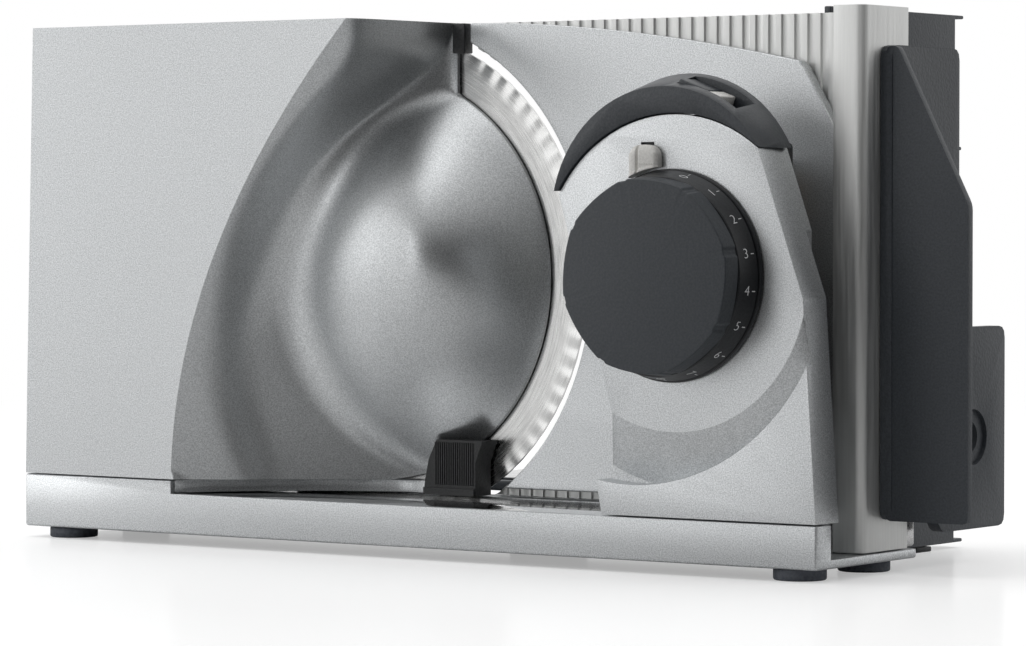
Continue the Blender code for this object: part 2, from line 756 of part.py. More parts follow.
def make_housing():
    rows = 30
    steep_columns = 14
    dome_columns = 12
    mesh = bpy.data.meshes.new("housing")
    shape = bmesh.new()
    front = []
    back = []
    for r in range(rows + 1):
        z = HOUSING_BOTTOM + (HOUSING_TOP - HOUSING_BOTTOM) * r / rows
        start = crease_x(z)
        width = rim_x(z) - start
        steep = min(steep_reach(z) + STEEP_BAND, width * 0.7)
        xs = [left_x(z), start]
        xs += [start + steep * c / steep_columns for c in range(1, steep_columns + 1)]
        xs += [start + steep + (width - steep) * c / dome_columns
               for c in range(1, dome_columns + 1)]
        ys = [0.0, 0.0] + [surface_y(x, z) for x in xs[2:]]
        front.append([shape.verts.new((x, y, z)) for x, y in zip(xs, ys)])
        back.append([shape.verts.new((x, HOUSING_BACK, z)) for x in xs])
    last = steep_columns + dome_columns + 1
    for r in range(rows):
        for c in range(last):
            shape.faces.new((front[r][c], front[r][c + 1], front[r + 1][c + 1], front[r + 1][c]))
            shape.faces.new((back[r][c], back[r + 1][c], back[r + 1][c + 1], back[r][c + 1]))
        shape.faces.new((front[r][0], front[r + 1][0], back[r + 1][0], back[r][0]))
        shape.faces.new((front[r][last], back[r][last], back[r + 1][last], front[r + 1][last]))
    for c in range(last):
        shape.faces.new((front[0][c], back[0][c], back[0][c + 1], front[0][c + 1]))
        shape.faces.new((front[rows][c], front[rows][c + 1], back[rows][c + 1], back[rows][c]))
    bmesh.ops.recalc_face_normals(shape, faces=shape.faces)
    shape.to_mesh(mesh)
    shape.free()
    housing = keep("motor_housing", mesh, SILVER, 0.38, 0.6, smooth=35)
    open_y = HOUSING_BACK + FAR
    cut(housing, block((-HALF + CAVITY_WALL, HOUSING_WALL + GAP, HOUSING_BOTTOM + 2 * HOUSING_WALL),
                       (STEP_X - HOUSING_WALL, open_y, HOUSING_TOP - 2 * HOUSING_WALL)))
    well = MOTOR_RADIUS + MOTOR_WELL_GAP
    cut(housing, turned(well, well, HOUSING_WALL, open_y, MOTOR_X, MOTOR_Z))
    plate_left, plate_right, plate_low, plate_high = mount_limits()
    mount_near = MOUNT_Y - RUNNING_GAP
    cut(housing, block((plate_left - GEAR_SPACE, mount_near, plate_low - GEAR_SPACE),
                       (plate_right + GEAR_SPACE, open_y, plate_high + GEAR_SPACE)))
    well = IDLER_MODULE * (IDLER_LARGE_TEETH / 2 + GEAR_TIP) + WELL_GAP
    cut(housing, turned(well, well, mount_near, open_y, IDLER_X, IDLER_Z))
    cut(housing, turned(GEAR_WELL_RADIUS, GEAR_WELL_RADIUS, IDLER_NEAR - WELL_GAP, open_y,
                        BLADE_X, BLADE_Z))
    cut(housing, turned(AXLE_RADIUS + GAP, AXLE_RADIUS + GAP, AXLE_NEAR - GAP, open_y, BLADE_X,
                        BLADE_Z, 24))
    cut(housing, outline_mesh(grown(lid_outline(), GAP), LID_Y - GAP, open_y, "XZ"))
    cut(housing, outline_mesh(grown(scraper_outline(), SCRAPER_GAP), SCRAPER_NEAR - SCRAPER_GAP,
                              open_y, "XZ"))
    lid = keep("housing_lid", outline_mesh(lid_outline(), LID_Y, LID_Y + LID_SHEET, "XZ"),
               BLACK, 0.5)
    cut(lid, turned(HUB_RADIUS + GEAR_SPACE, HUB_RADIUS + GEAR_SPACE, LID_Y - FAR, LID_Y + FAR,
                    BLADE_X, BLADE_Z))
    outline = [(left_x(HOUSING_TOP) + GAP, HOUSING_TOP - GAP),
               (left_x(HOUSING_BOTTOM) + GAP, HOUSING_BOTTOM + GAP),
               (BLADE_X, HOUSING_BOTTOM + GAP), (BLADE_X, HOUSING_TOP - GAP)]
    cover_near = HOUSING_BACK + GAP
    cover = keep("back_cover", outline_mesh(outline, cover_near, cover_near + BACK_COVER_SHEET, "XZ"),
                 SILVER, 0.4, 0.6)
    around = BLADE_RADIUS + BACK_COVER_ARC_GAP
    cut(cover, turned(around, around, -FAR, 3 * FAR, BLADE_X, BLADE_Z, 160))


def mount_limits():
    """Left, right, low and high edge of the motor's mounting plate."""
    return (MOTOR_X - MOTOR_RADIUS - MOTOR_WELL_GAP, IDLER_X + 3 * IDLER_PIN_RADIUS,
            MOTOR_Z - MOTOR_RADIUS - MOUNT_SHEET, MOTOR_Z + MOTOR_RADIUS + MOUNT_SHEET)


def lid_outline():
    """Inner lid over the motor and gear wells."""
    left = -HALF + LID_RIM + HOUSING_LEAN
    right = STEP_X
    low = HOUSING_BOTTOM + LID_RIM
    high = HOUSING_TOP - LID_RIM
    bow = arc(BLADE_X, BLADE_Z, LID_RADIUS, -125, 125, 26)
    return [(left, low), (right, low)] + bow + [(right, high), (left, high)]


# Scraper: a ribbed block between the housing's rim and the tray, close to the blade.
def scraper_outline():
    bottom = DECK_TOP + 2 * GAP
    nose = SCRAPER_TOP - SCRAPER_NOSE
    return [(SCRAPER_LEFT, bottom), (SCRAPER_LEFT + GAP, SCRAPER_TOP - SCRAPER_SHOULDER),
            (SCRAPER_LEFT + SCRAPER_SLANT, SCRAPER_TOP), (SCRAPER_RIGHT, SCRAPER_TOP),
            (SCRAPER_RIGHT - SCRAPER_HOOK, nose), (SCRAPER_RIGHT - SCRAPER_HOOK, bottom)]


def make_scraper():
    far = BLADE_Y - 2 * GAP
    scraper = keep("blade_scraper", outline_mesh(scraper_outline(), SCRAPER_NEAR, far, "XZ"),
                   BLACK, 0.5)
    left = SCRAPER_LEFT + 3 * SCRAPER_RIB_WIDTH
    pitch = -left / SCRAPER_RIBS
    for i in range(SCRAPER_RIBS):
        x = left + pitch * i
        cut(scraper, block((x, SCRAPER_NEAR - FAR, DECK_TOP + 5 * SCRAPER_RIB_WIDTH),
                           (x + SCRAPER_RIB_WIDTH, SCRAPER_NEAR + SCRAPER_RIB_DEPTH, SCRAPER_TOP + FAR)))
    guard_low = HOUSING_TOP - GUARD_HEIGHT
    keep("slot_guard", block((rim_x(guard_low) + GAP, GUARD_NEAR, guard_low),
                             (WEB_LEFT - WELL_GAP, far, HOUSING_TOP - GAP)), BLACK, 0.5)
    points = []
    steps = 20
    start = STEP_X + GAP
    end = SCRAPER_LEFT - SCRAPER_GAP - GAP
    for i in range(steps + 1):
        x = start + (end - start) * i / steps
        depth = skirt_y(x, SEAT_TOP) + SKIRT_STEP
        points.append((x, min(depth, HOUSING_BACK - BASE_WALL)))
    points += [(end, HOUSING_BACK), (start, HOUSING_BACK)]
    keep("housing_plinth", outline_mesh(points, DECK_TOP + GAP, SEAT_TOP, "XY"), SILVER, 0.45, 0.4)


# Blade drive: motor, idler and the gear that the blade is fixed to.
def make_drive():
    rotor_bore = ROTOR_RADIUS + GAP
    pin_bore = IDLER_PIN_RADIUS + GAP
    can = keep("motor_can", turned(MOTOR_RADIUS, MOTOR_RADIUS, MOTOR_NEAR, MOUNT_Y - GAP, MOTOR_X,
                                   MOTOR_Z), STEEL, 0.4, 1.0, smooth=40)
    cut(can, turned(rotor_bore, rotor_bore, -FAR, 2 * FAR, MOTOR_X, MOTOR_Z, 20))
    left, right, low, high = mount_limits()
    mount = keep("motor_mount", block((left, MOUNT_Y, low), (right, MOUNT_Y + MOUNT_SHEET, high)),
                 STEEL, 0.5, 1.0)
    cut(mount, turned(MOTOR_BOSS, MOTOR_BOSS, -FAR, 2 * FAR, MOTOR_X, MOTOR_Z, 24))
    cut(mount, turned(pin_bore, pin_bore, -FAR, 2 * FAR, IDLER_X, IDLER_Z, 20))
    keep("idler_pin", turned(IDLER_PIN_RADIUS, IDLER_PIN_RADIUS, MOUNT_Y + GAP, LID_Y - GAP,
                             IDLER_X, IDLER_Z, 20), STEEL, 0.3, 1.0, smooth=40)

    idler = empty_at("idler_axis", (IDLER_X, IDLER_BACK, IDLER_Z))
    large = keep("idler_large_gear",
                 outline_mesh(gear_outline(IDLER_X, IDLER_Z, IDLER_MODULE, IDLER_LARGE_TEETH,
                                           180.0 - MOTOR_ANGLE), IDLER_NEAR, IDLER_BACK, "XZ"),
                 NYLON, 0.5)
    cut(large, turned(pin_bore, pin_bore, -FAR, 2 * FAR, IDLER_X, IDLER_Z, 20))
    small = keep("idler_small_gear",
                 outline_mesh(gear_outline(IDLER_X, IDLER_Z, GEAR_MODULE, IDLER_SMALL_TEETH, 0.0),
                              IDLER_BACK + GAP, GEAR_BACK, "XZ"), NYLON, 0.5)
    cut(small, turned(pin_bore, pin_bore, -FAR, 2 * FAR, IDLER_X, IDLER_Z, 20))
    ride(idler, large, small)

    rotor = empty_at("rotor_axis", (MOTOR_X, IDLER_NEAR, MOTOR_Z))
    half_tooth = 180.0 / PINION_TEETH
    shaft = keep("rotor_shaft", turned(ROTOR_RADIUS, ROTOR_RADIUS, FAN_NEAR - GAP, IDLER_BACK + GAP,
                                       MOTOR_X, MOTOR_Z, 20), STEEL, 0.3, 1.0, smooth=40)
    pinion = keep("motor_pinion",
                  outline_mesh(gear_outline(MOTOR_X, MOTOR_Z, IDLER_MODULE, PINION_TEETH,
                                            -MOTOR_ANGLE + half_tooth),
                               IDLER_NEAR, IDLER_BACK, "XZ"), BRONZE, 0.4, 1.0)
    cut(pinion, turned(rotor_bore, rotor_bore, -FAR, 2 * FAR, MOTOR_X, MOTOR_Z, 20))
    points = []
    for i in range(FAN_BLADES):
        middle = 360.0 * i / FAN_BLADES
        for offset, radius in ((-14, FAN_ROOT), (-9, FAN_RADIUS), (5, FAN_RADIUS), (9, FAN_ROOT)):
            angle = math.radians(middle + offset)
            points.append((MOTOR_X + radius * math.cos(angle), MOTOR_Z + radius * math.sin(angle)))
    fan = keep("motor_fan", outline_mesh(points, FAN_NEAR, FAN_FAR, "XZ"), BLACK, 0.6)
    cut(fan, turned(rotor_bore, rotor_bore, -FAR, 2 * FAR, MOTOR_X, MOTOR_Z, 20))
    ride(rotor, shaft, pinion, fan)

    keep("blade_axle", turned(AXLE_RADIUS, AXLE_RADIUS, AXLE_NEAR, COVER_Y - RUNNING_GAP, BLADE_X,
                              BLADE_Z, 32), STEEL, 0.25, 1.0, smooth=40)
    spin = empty_at("blade_axis", (BLADE_X, BLADE_Y, BLADE_Z))
    half_tooth = 180.0 / GEAR_TEETH
    gear = keep("drive_gear",
                outline_mesh(gear_outline(BLADE_X, BLADE_Z, GEAR_MODULE, GEAR_TEETH, half_tooth),
                             GEAR_NEAR, GEAR_BACK, "XZ"), NYLON, 0.5)
    bore = AXLE_RADIUS + GAP
    cut(gear, turned(bore, bore, -FAR, 2 * FAR, BLADE_X, BLADE_Z, 32))
    hub = keep("blade_hub", turned(HUB_RADIUS, HUB_RADIUS, GEAR_BACK + GAP, BLADE_Y - GAP, BLADE_X,
                                   BLADE_Z, 40), STEEL, 0.35, 1.0, smooth=40)
    cut(hub, turned(bore, bore, -FAR, 2 * FAR, BLADE_X, BLADE_Z, 32))
    points = []
    for i in range(BLADE_TEETH * 4):
        angle = 2 * math.pi * i / (BLADE_TEETH * 4)
        wave = 0.5 + 0.5 * math.cos(angle * BLADE_TEETH)
        radius = BLADE_RADIUS - TOOTH_DEPTH * (1 - wave)
        points.append((BLADE_X + radius * math.cos(angle), BLADE_Z + radius * math.sin(angle)))
    blade = keep("blade", outline_mesh(points, BLADE_Y, BLADE_Y + BLADE_SHEET, "XZ"), STEEL, 0.25,
                 1.0)
    cut(blade, turned(bore, bore, -FAR, 2 * FAR, BLADE_X, BLADE_Z, 32))
    screws = []
    for i in range(3):
        angle = math.radians(90 + 120 * i)
        x = BLADE_X + BLADE_SCREW_CIRCLE * math.cos(angle)
        z = BLADE_Z + BLADE_SCREW_CIRCLE * math.sin(angle)
        head = turned(BLADE_SCREW_RADIUS, BLADE_SCREW_RADIUS, BLADE_Y + BLADE_SHEET + GAP,
                      COVER_Y - GAP, x, z, 12)
        screws.append(keep("blade_screw_" + str(i + 1), head, STEEL, 0.3, 1.0))
    ride(spin, gear, hub, blade, *screws)

    cover = keep("blade_cover", turned(COVER_RADIUS, COVER_RADIUS, COVER_Y, FOOD_Y, BLADE_X,
                                       BLADE_Z, 64), STEEL, 0.3, 1.0, smooth=40)
    cut(cover, turned(LOCK_RADIUS + GAP, LOCK_RADIUS + GAP, -FAR, 2 * FAR, BLADE_X, BLADE_Z, 40))
    lock_axis = empty_at("lock_axis", (BLADE_X, FOOD_Y, BLADE_Z))
    lock = keep("cover_lock", turned(LOCK_RADIUS, LOCK_RADIUS, COVER_Y - GAP,
                                     FOOD_Y + 2 * GAP, BLADE_X, BLADE_Z, 40), CHARCOAL, 0.5,
                smooth=40)
    cut(lock, turned(LOCK_FLANGE, LOCK_FLANGE, FOOD_Y + GAP, FOOD_Y + LOCK_PROUD, BLADE_X, BLADE_Z,
                     40), "UNION")
    cut(lock, block((BLADE_X - LOCK_SLOT_LENGTH / 2, FOOD_Y + LOCK_PROUD / 2,
                     BLADE_Z - LOCK_SLOT_WIDTH / 2),
                    (BLADE_X + LOCK_SLOT_LENGTH / 2, FOOD_Y + FAR, BLADE_Z + LOCK_SLOT_WIDTH / 2)))
    ride(lock_axis, lock)


# Tower with its hood, switch pieces and index tab.
def make_tower():
    tower = keep("knob_tower", outline_mesh(tower_outline(), 0.0, TOWER_DEPTH, "XZ"), SILVER, 0.38,
                 0.6)
    scoop = as_cutter(turned(SCOOP_RADIUS, SCOOP_RADIUS, -GAP, SCOOP_DEPTH, SCOOP_X, SCOOP_Z, 96))
    inner = scoop.modifiers.new("keep_face", "BOOLEAN")
    inner.operation = "DIFFERENCE"
    inner.object = as_cutter(turned(FACE_LOW_RADIUS, FACE_LOW_RADIUS + 2 * SCOOP_SPREAD,
                                    -GAP * 2, 2 * SCOOP_DEPTH, KNOB_X, KNOB_Z, 96))
    upper = scoop.modifiers.new("keep_top", "BOOLEAN")
    upper.operation = "DIFFERENCE"
    upper.object = as_cutter(block((-FAR, -FAR, SCOOP_TOP_Z), (2 * HALF, FAR, 2 * HALF)))
    step = tower.modifiers.new("scoop", "BOOLEAN")
    step.operation = "DIFFERENCE"
    step.object = scoop
    leg_reach = LEG_NEAR_Y - STOP_TRAVEL
    cut(tower, block((LEG_LEFT - RUNNING_GAP, leg_reach - RUNNING_GAP, -FAR),
                     (2 * HALF, FAR, 2 * HALF)))
    cut(tower, turned(TOWER_ROOM, TOWER_ROOM, TOWER_WALL, FAR, KNOB_X, KNOB_Z, 48))
    cut(tower, block((SHAFT_LEFT, TOWER_WALL, KNOB_Z - SHAFT_LOW),
                     (SHAFT_RIGHT, FAR, KNOB_Z + SHAFT_HIGH)))
    cut(tower, turned(SPINDLE_RADIUS + GAP, SPINDLE_RADIUS + GAP, -FAR, FAR, KNOB_X, KNOB_Z, 24))
    tab_low = KNOB_Z + SKIRT_RADIUS + TAB_GAP
    stem_low = tab_low + TAB_STEM_EDGE
    stem_high = tab_low + TAB_HEIGHT - TAB_STEM_EDGE
    stem_left = TAB_X - TAB_STEM / 2
    stem_right = TAB_X + TAB_STEM / 2
    cut(tower, block((stem_left - GAP, -FAR, stem_low - GAP),
                     (stem_right + GAP, TOWER_WALL + TAB_CATCH + GAP, stem_high + TAB_TRAVEL + GAP)))
    back = keep("tower_back", block((BOX_LEFT, TOWER_DEPTH + GAP, BOX_LOW),
                                    (BOX_RIGHT, BOX_FAR, BOX_HIGH), 2 * EDGE_ROUND), BLACK, 0.6)
    cut(back, block((BOX_LEFT + BOX_WALL, 0, BOX_LOW + BOX_WALL),
                    (BOX_RIGHT - BOX_WALL, BOX_FAR - BOX_WALL, BOX_HIGH - BOX_WALL)))
    cut(back, turned(NUT_RADIUS + RUNNING_GAP, NUT_RADIUS + RUNNING_GAP, 0, FAR, KNOB_X, KNOB_Z, 32))
    inner = ROD_RADIUS + GAP
    outer = inner + BUSHING_WALL
    for name, side in (("low", -1), ("high", 1)):
        z = KNOB_Z + side * ROD_REACH
        cut(back, turned(outer + GAP, outer + GAP, 0, FAR, KNOB_X, z, 24))
        sleeve = keep("rod_bushing_" + name, turned(outer, outer, BOX_FAR - BUSHING_LENGTH, BOX_FAR,
                                                    KNOB_X, z, 28), BRONZE, 0.4, 1.0, smooth=40)
        cut(sleeve, turned(inner, inner, -FAR, FAR, KNOB_X, z, 28))

    hood_mesh = turned(HOOD_RADIUS, HOOD_RADIUS, HOOD_FRONT, HOOD_BACK, HOOD_X, HOOD_Z, 72)
    for vertex in hood_mesh.vertices:
        if vertex.co.y > HOOD_FRONT + FAR / 10:
            vertex.co.z += HOOD_LIFT
            vertex.co.x -= HOOD_SHIFT
    hood = keep("switch_hood", hood_mesh, CHARCOAL, 0.5, smooth=35)
    inside = FACE_RADIUS + HOOD_GAP
    cut(hood, turned(inside, inside, -FAR, FAR, KNOB_X, KNOB_Z, 96))
    cut(hood, block((0, -FAR, 0), (KNOB_X, FAR, HOOD_LEFT_Z)))
    cut(hood, block((KNOB_X - GAP, -FAR, 0), (2 * HALF, FAR, HOOD_RIGHT_Z)))
    turn = Matrix.Rotation(math.radians(WELL_TURN), 4, "Y")
    angle = math.radians(WELL_TURN)
    middle_y = (HOOD_FRONT + HOOD_BACK) / 2 + HOOD_GAP
    lift = HOOD_LIFT / 2
    centre = Vector((HOOD_X + HOOD_RADIUS * math.sin(angle), middle_y,
                     HOOD_Z + HOOD_RADIUS * math.cos(angle) + lift))
    place = Matrix.Translation(centre) @ turn

    def placed(low, high, rounding=0.0):
        mesh = block(low, high, rounding)
        mesh.transform(place)
        return mesh

    half = WELL_LENGTH / 2
    wide = WELL_WIDTH / 2
    cut(hood, placed((-half, -wide, -WELL_DEPTH), (half, wide, FAR)))
    press = empty_at("press_axis", centre)
    button = keep("switch_button",
                  placed((-half + GAP, -wide + GAP, -WELL_DEPTH + PRESS_TRAVEL + GAP),
                         (-half + GAP + BUTTON_LENGTH, wide - GAP, -BUTTON_SUNK), 2 * GAP),
                  CHARCOAL, 0.45)
    ride(press, button)
    slide = empty_at("run_axis", centre)
    slider_left = -half + BUTTON_LENGTH + 3 * GAP
    slider = keep("run_slider", placed((slider_left, -wide + GAP, -WELL_DEPTH + GAP),
                                       (slider_left + SLIDER_LENGTH, wide - GAP, -SLIDER_SUNK),
                                       GAP), CREAM, 0.5)
    ride(slide, slider)
    switch_left = BOX_LEFT + SWITCH_FROM_BOX
    keep("micro_switch", block((switch_left, SWITCH_NEAR, KNOB_Z + SWITCH_LOW),
                               (switch_left + SWITCH_WIDTH, SWITCH_FAR,
                                KNOB_Z + SWITCH_LOW + SWITCH_HEIGHT)), BLACK, 0.6)

    lift_axis = empty_at("tab_axis", (TAB_X, 0, tab_low))
    tab = keep("index_tab", block((TAB_X - TAB_WIDTH / 2, -TAB_PROUD, tab_low),
                                  (TAB_X + TAB_WIDTH / 2, -GAP, tab_low + TAB_HEIGHT), 3 * GAP),
               CREAM, 0.45)
    cut(tab, block((stem_left, -TAB_STEM_EDGE, stem_low),
                   (stem_right, TOWER_WALL + TAB_CATCH, stem_high)), "UNION")
    ride(lift_axis, tab)


# Knob and its dial skirt, with the spindle that drives the stop plate.
def make_knob():
    axis = empty_at("knob_axis", (KNOB_X, 0, KNOB_Z))
    skirt = keep("dial_skirt", turned(SKIRT_FRONT_RADIUS, SKIRT_RADIUS, -SKIRT_DEPTH, -SKIRT_REAR,
                                      KNOB_X, KNOB_Z, 64), CHARCOAL, 0.45, smooth=40)
    cut(skirt, turned(STEM_RADIUS + GAP, STEM_RADIUS + GAP, -FAR, FAR, KNOB_X, KNOB_Z, 48))
    corner = 360.0 / KNOB_SIDES
    knob = keep("thickness_knob",
                outline_mesh(rounded(arc(KNOB_X, KNOB_Z, KNOB_RADIUS, KNOB_TURN_START,
                                         KNOB_TURN_START + 360 - corner, KNOB_SIDES - 1),
                                     KNOB_CORNER), KNOB_FRONT, -SKIRT_DEPTH - GAP, "XZ"),
                CHARCOAL, 0.5, smooth=30)
    cut(knob, turned(STEM_RADIUS, STEM_RADIUS, -SKIRT_DEPTH - 2 * GAP, -2 * SKIRT_REAR, KNOB_X,
                     KNOB_Z, 48), "UNION")
    cut(knob, turned(SPINDLE_RADIUS + GAP, SPINDLE_RADIUS + GAP, -SPINDLE_NEAR - GAP, FAR, KNOB_X,
                     KNOB_Z, 24))
    spindle = keep("knob_spindle", turned(SPINDLE_RADIUS, SPINDLE_RADIUS, -SPINDLE_NEAR, LEG_NEAR_Y,
                                          KNOB_X, KNOB_Z, 24), STEEL, 0.3, 1.0, smooth=40)
    ride(axis, skirt, knob, spindle)


# Stop plate: one aluminium extrusion, a ribbed web and a leg, with the painted panel, the
# bracket, the guide rods and the nut fixed to it.
def make_stop_plate():
    slide = empty_at("stop_plate_axis", (KNOB_X, FOOD_Y, KNOB_Z))
    near = []
    x = WEB_LEFT
    rib_end = LEG_LEFT - LEG_WALL - LEG_EDGE
    while x + RIB_PITCH < rib_end:
        near += [(x, WEB_Y), (x + RIB_PITCH * 0.42, WEB_Y), (x + RIB_PITCH * 0.5, WEB_Y + RIB_DEPTH),
                 (x + RIB_PITCH * 0.92, WEB_Y + RIB_DEPTH)]
        x += RIB_PITCH
    near.append((x, WEB_Y))
    bend = arc(LEG_RIGHT - LEG_ROUND, LEG_NEAR_Y + LEG_ROUND, LEG_ROUND, -90, 0, 5)
    plan = near + [(LEG_RIGHT - LEG_WALL, WEB_Y), (LEG_RIGHT - LEG_WALL, LEG_NEAR_Y + LEG_WALL),
                   (LEG_LEFT, LEG_NEAR_Y + LEG_WALL), (LEG_LEFT, LEG_NEAR_Y)] + bend
    plan += [(LEG_RIGHT, FOOD_Y - LEG_EDGE), (LEG_RIGHT - LEG_EDGE, FOOD_Y), (WEB_LEFT, FOOD_Y)]
    plate = keep("stop_plate", outline_mesh(plan, LEG_BOTTOM, LEG_TOP, "XY"), ALUMINIUM, 0.35, 0.9,
                 smooth=40)
    cut(plate, turned(WEB_ARC, WEB_ARC, -FAR, 2 * FAR, BLADE_X, BLADE_Z, 120))
    cut(plate, block((WEB_LEFT - FAR, WEB_Y - LEG_EDGE, -FAR), (LEG_LEFT, 2 * FAR, WEB_BOTTOM)))
    cut(plate, block((WEB_LEFT - FAR, WEB_Y - LEG_EDGE, WEB_TOP), (LEG_LEFT, 2 * FAR, WEB_TOP + FAR)))

    start = math.degrees(math.asin((PANEL_BOTTOM - BLADE_Z) / PANEL_ARC))
    end = math.degrees(math.acos((WEB_LEFT - BLADE_X) / PANEL_ARC))
    edge = arc(BLADE_X, BLADE_Z, PANEL_ARC, start, end, 48)
    top = []
    steps = 12
    for i in range(steps + 1):
        share = i / steps
        top.append((WEB_LEFT + (PANEL_CORNER_X - WEB_LEFT) * share,
                    PANEL_TOP - PANEL_FALL * share ** 1.75))
    corner_x = PANEL_CORNER_X + PANEL_CORNER
    corner_z = PANEL_TOP - PANEL_FALL - PANEL_CORNER
    right_z = corner_z - (PANEL_RIGHT - corner_x) * PANEL_SIDE_SLOPE
    rest = [(corner_x, corner_z), (PANEL_RIGHT, right_z), (PANEL_RIGHT, PANEL_BOTTOM)]
    panel = keep("guide_panel", outline_mesh(edge + top + rest, PANEL_Y, PANEL_Y + PANEL_SHEET,
                                             "XZ"), SILVER, 0.38, 0.6)

    bracket_near = BOX_FAR + STOP_TRAVEL + RUNNING_GAP
    bracket_far = PANEL_Y - GAP
    bracket_end = ROD_REACH + BRACKET_END
    bracket = keep("plate_bracket",
                   block((KNOB_X - BRACKET_HALF, bracket_near, KNOB_Z - bracket_end),
                         (KNOB_X + BRACKET_HALF, bracket_far, KNOB_Z + bracket_end), EDGE_ROUND),
                   ALUMINIUM, 0.4, 0.9)
    cut(bracket, turned(NUT_RADIUS + GAP, NUT_RADIUS + GAP, -FAR, 2 * FAR, KNOB_X, KNOB_Z, 32))
    rods = []
    for name, side in (("low", -1), ("high", 1)):
        z = KNOB_Z + side * ROD_REACH
        cut(bracket, turned(ROD_RADIUS + GAP, ROD_RADIUS + GAP, -FAR, 2 * FAR, KNOB_X, z, 24))
        bar = turned(ROD_RADIUS, ROD_RADIUS, TOWER_WALL + STOP_TRAVEL + RUNNING_GAP, bracket_far,
                     KNOB_X, z, 24)
        rods.append(keep("guide_rod_" + name, bar, STEEL, 0.25, 1.0, smooth=40))
    nut = keep("spindle_nut", turned(NUT_RADIUS, NUT_RADIUS, NUT_NEAR, bracket_far, KNOB_X, KNOB_Z,
                                     32), NYLON, 0.5, smooth=40)
    bore = SPINDLE_RADIUS + RUNNING_GAP
    cut(nut, turned(bore, bore, -FAR, 2 * FAR, KNOB_X, KNOB_Z, 32))
    ride(slide, plate, panel, bracket, nut, *rods)
    return slide


# Carriage on the food side: a rail on the base, a runner, a floor and a back wall.
def make_carriage():
    keep("carriage_rail", block((RAIL_LEFT, BASE_DEPTH + GAP, RAIL_BOTTOM),
                                (RAIL_RIGHT, RAIL_FAR, RAIL_TOP), EDGE_ROUND),
         STEEL, 0.3, 1.0)
    slide = empty_at("carriage_axis", (0, CARRIAGE_NEAR, RAIL_TOP))
    runner_top = RAIL_TOP + GAP + RUNNER_SHEET
    runner_far = RAIL_FAR + RUNNER_OVER
    runner = keep("carriage_runner", block((RUNNER_LEFT, CARRIAGE_NEAR, RAIL_TOP + GAP),
                                           (RUNNER_RIGHT, runner_far, runner_top)), NYLON, 0.5)
    cut(runner, block((RUNNER_LEFT, RAIL_FAR + RUNNING_GAP, RAIL_BOTTOM + RUNNING_GAP),
                      (RUNNER_RIGHT, runner_far, runner_top - RUNNING_GAP)), "UNION")
    floor_low = runner_top + GAP
    floor_top = floor_low + FLOOR_SHEET
    wall_left = WALL_RIGHT - WALL_SHEET
    floor = keep("carriage_floor", block((FLOOR_LEFT, CARRIAGE_NEAR, floor_low),
                                         (wall_left - GAP, WALL_FAR - RIM_EDGE - GAP, floor_top),
                                         EDGE_ROUND), SLATE, 0.5)
    insert_low = floor_top + GAP
    insert = keep("floor_plate", block((FLOOR_LEFT + INSERT_SIDE, CARRIAGE_NEAR + INSERT_SIDE,
                                        insert_low),
                                       (wall_left - INSERT_SIDE, WALL_FAR - INSERT_SIDE,
                                        insert_low + INSERT_SHEET)), STEEL, 0.25, 1.0)
    wall_near_low = runner_far + 3 * RUNNING_GAP
    outline = [(CARRIAGE_NEAR, floor_low), (CARRIAGE_NEAR, WALL_TOP), (WALL_FAR, WALL_TOP),
               (WALL_FAR, WALL_BOTTOM), (wall_near_low, WALL_BOTTOM), (wall_near_low, floor_low)]
    wall = keep("carriage_wall", outline_mesh(outline, wall_left, WALL_RIGHT, "YZ"), SLATE, 0.5)
    rim_left = wall_left - RIM_REACH - RIM_EDGE
    rims = ((WALL_TOP - RIM_SHEET, RIM_REACH), (WALL_BOTTOM, RIM_REACH),
            (RIM_MIDDLE_Z, RIM_REACH - RIM_SHEET))
    for low, reach in rims:
        cut(wall, block((rim_left, WALL_FAR - RIM_SHEET, low),
                        (WALL_RIGHT, WALL_FAR + reach, low + RIM_SHEET)), "UNION")
    cut(wall, block((rim_left, WALL_FAR - RIM_EDGE, WALL_BOTTOM),
                    (wall_left + RUNNING_GAP, WALL_FAR, WALL_TOP)), "UNION")
    foot_near = CARRIAGE_NEAR + FOOT_FROM_NEAR
    foot = keep("carriage_foot", block((rim_left, foot_near, 0),
                                       (WALL_RIGHT, foot_near + FOOT_WIDTH, WALL_BOTTOM - GAP), GAP),
                NYLON, 0.5)
    skid_left = FLOOR_LEFT + SKID_SHEET
    skid = keep("carriage_skid", block((skid_left, WALL_FAR - SKID_LENGTH - RIM_EDGE, 0),
                                       (skid_left + SKID_SHEET, WALL_FAR - 2 * RIM_EDGE,
                                        floor_low - GAP), EDGE_ROUND), SLATE, 0.5)
    ride(slide, runner, wall, foot, skid, floor, insert)


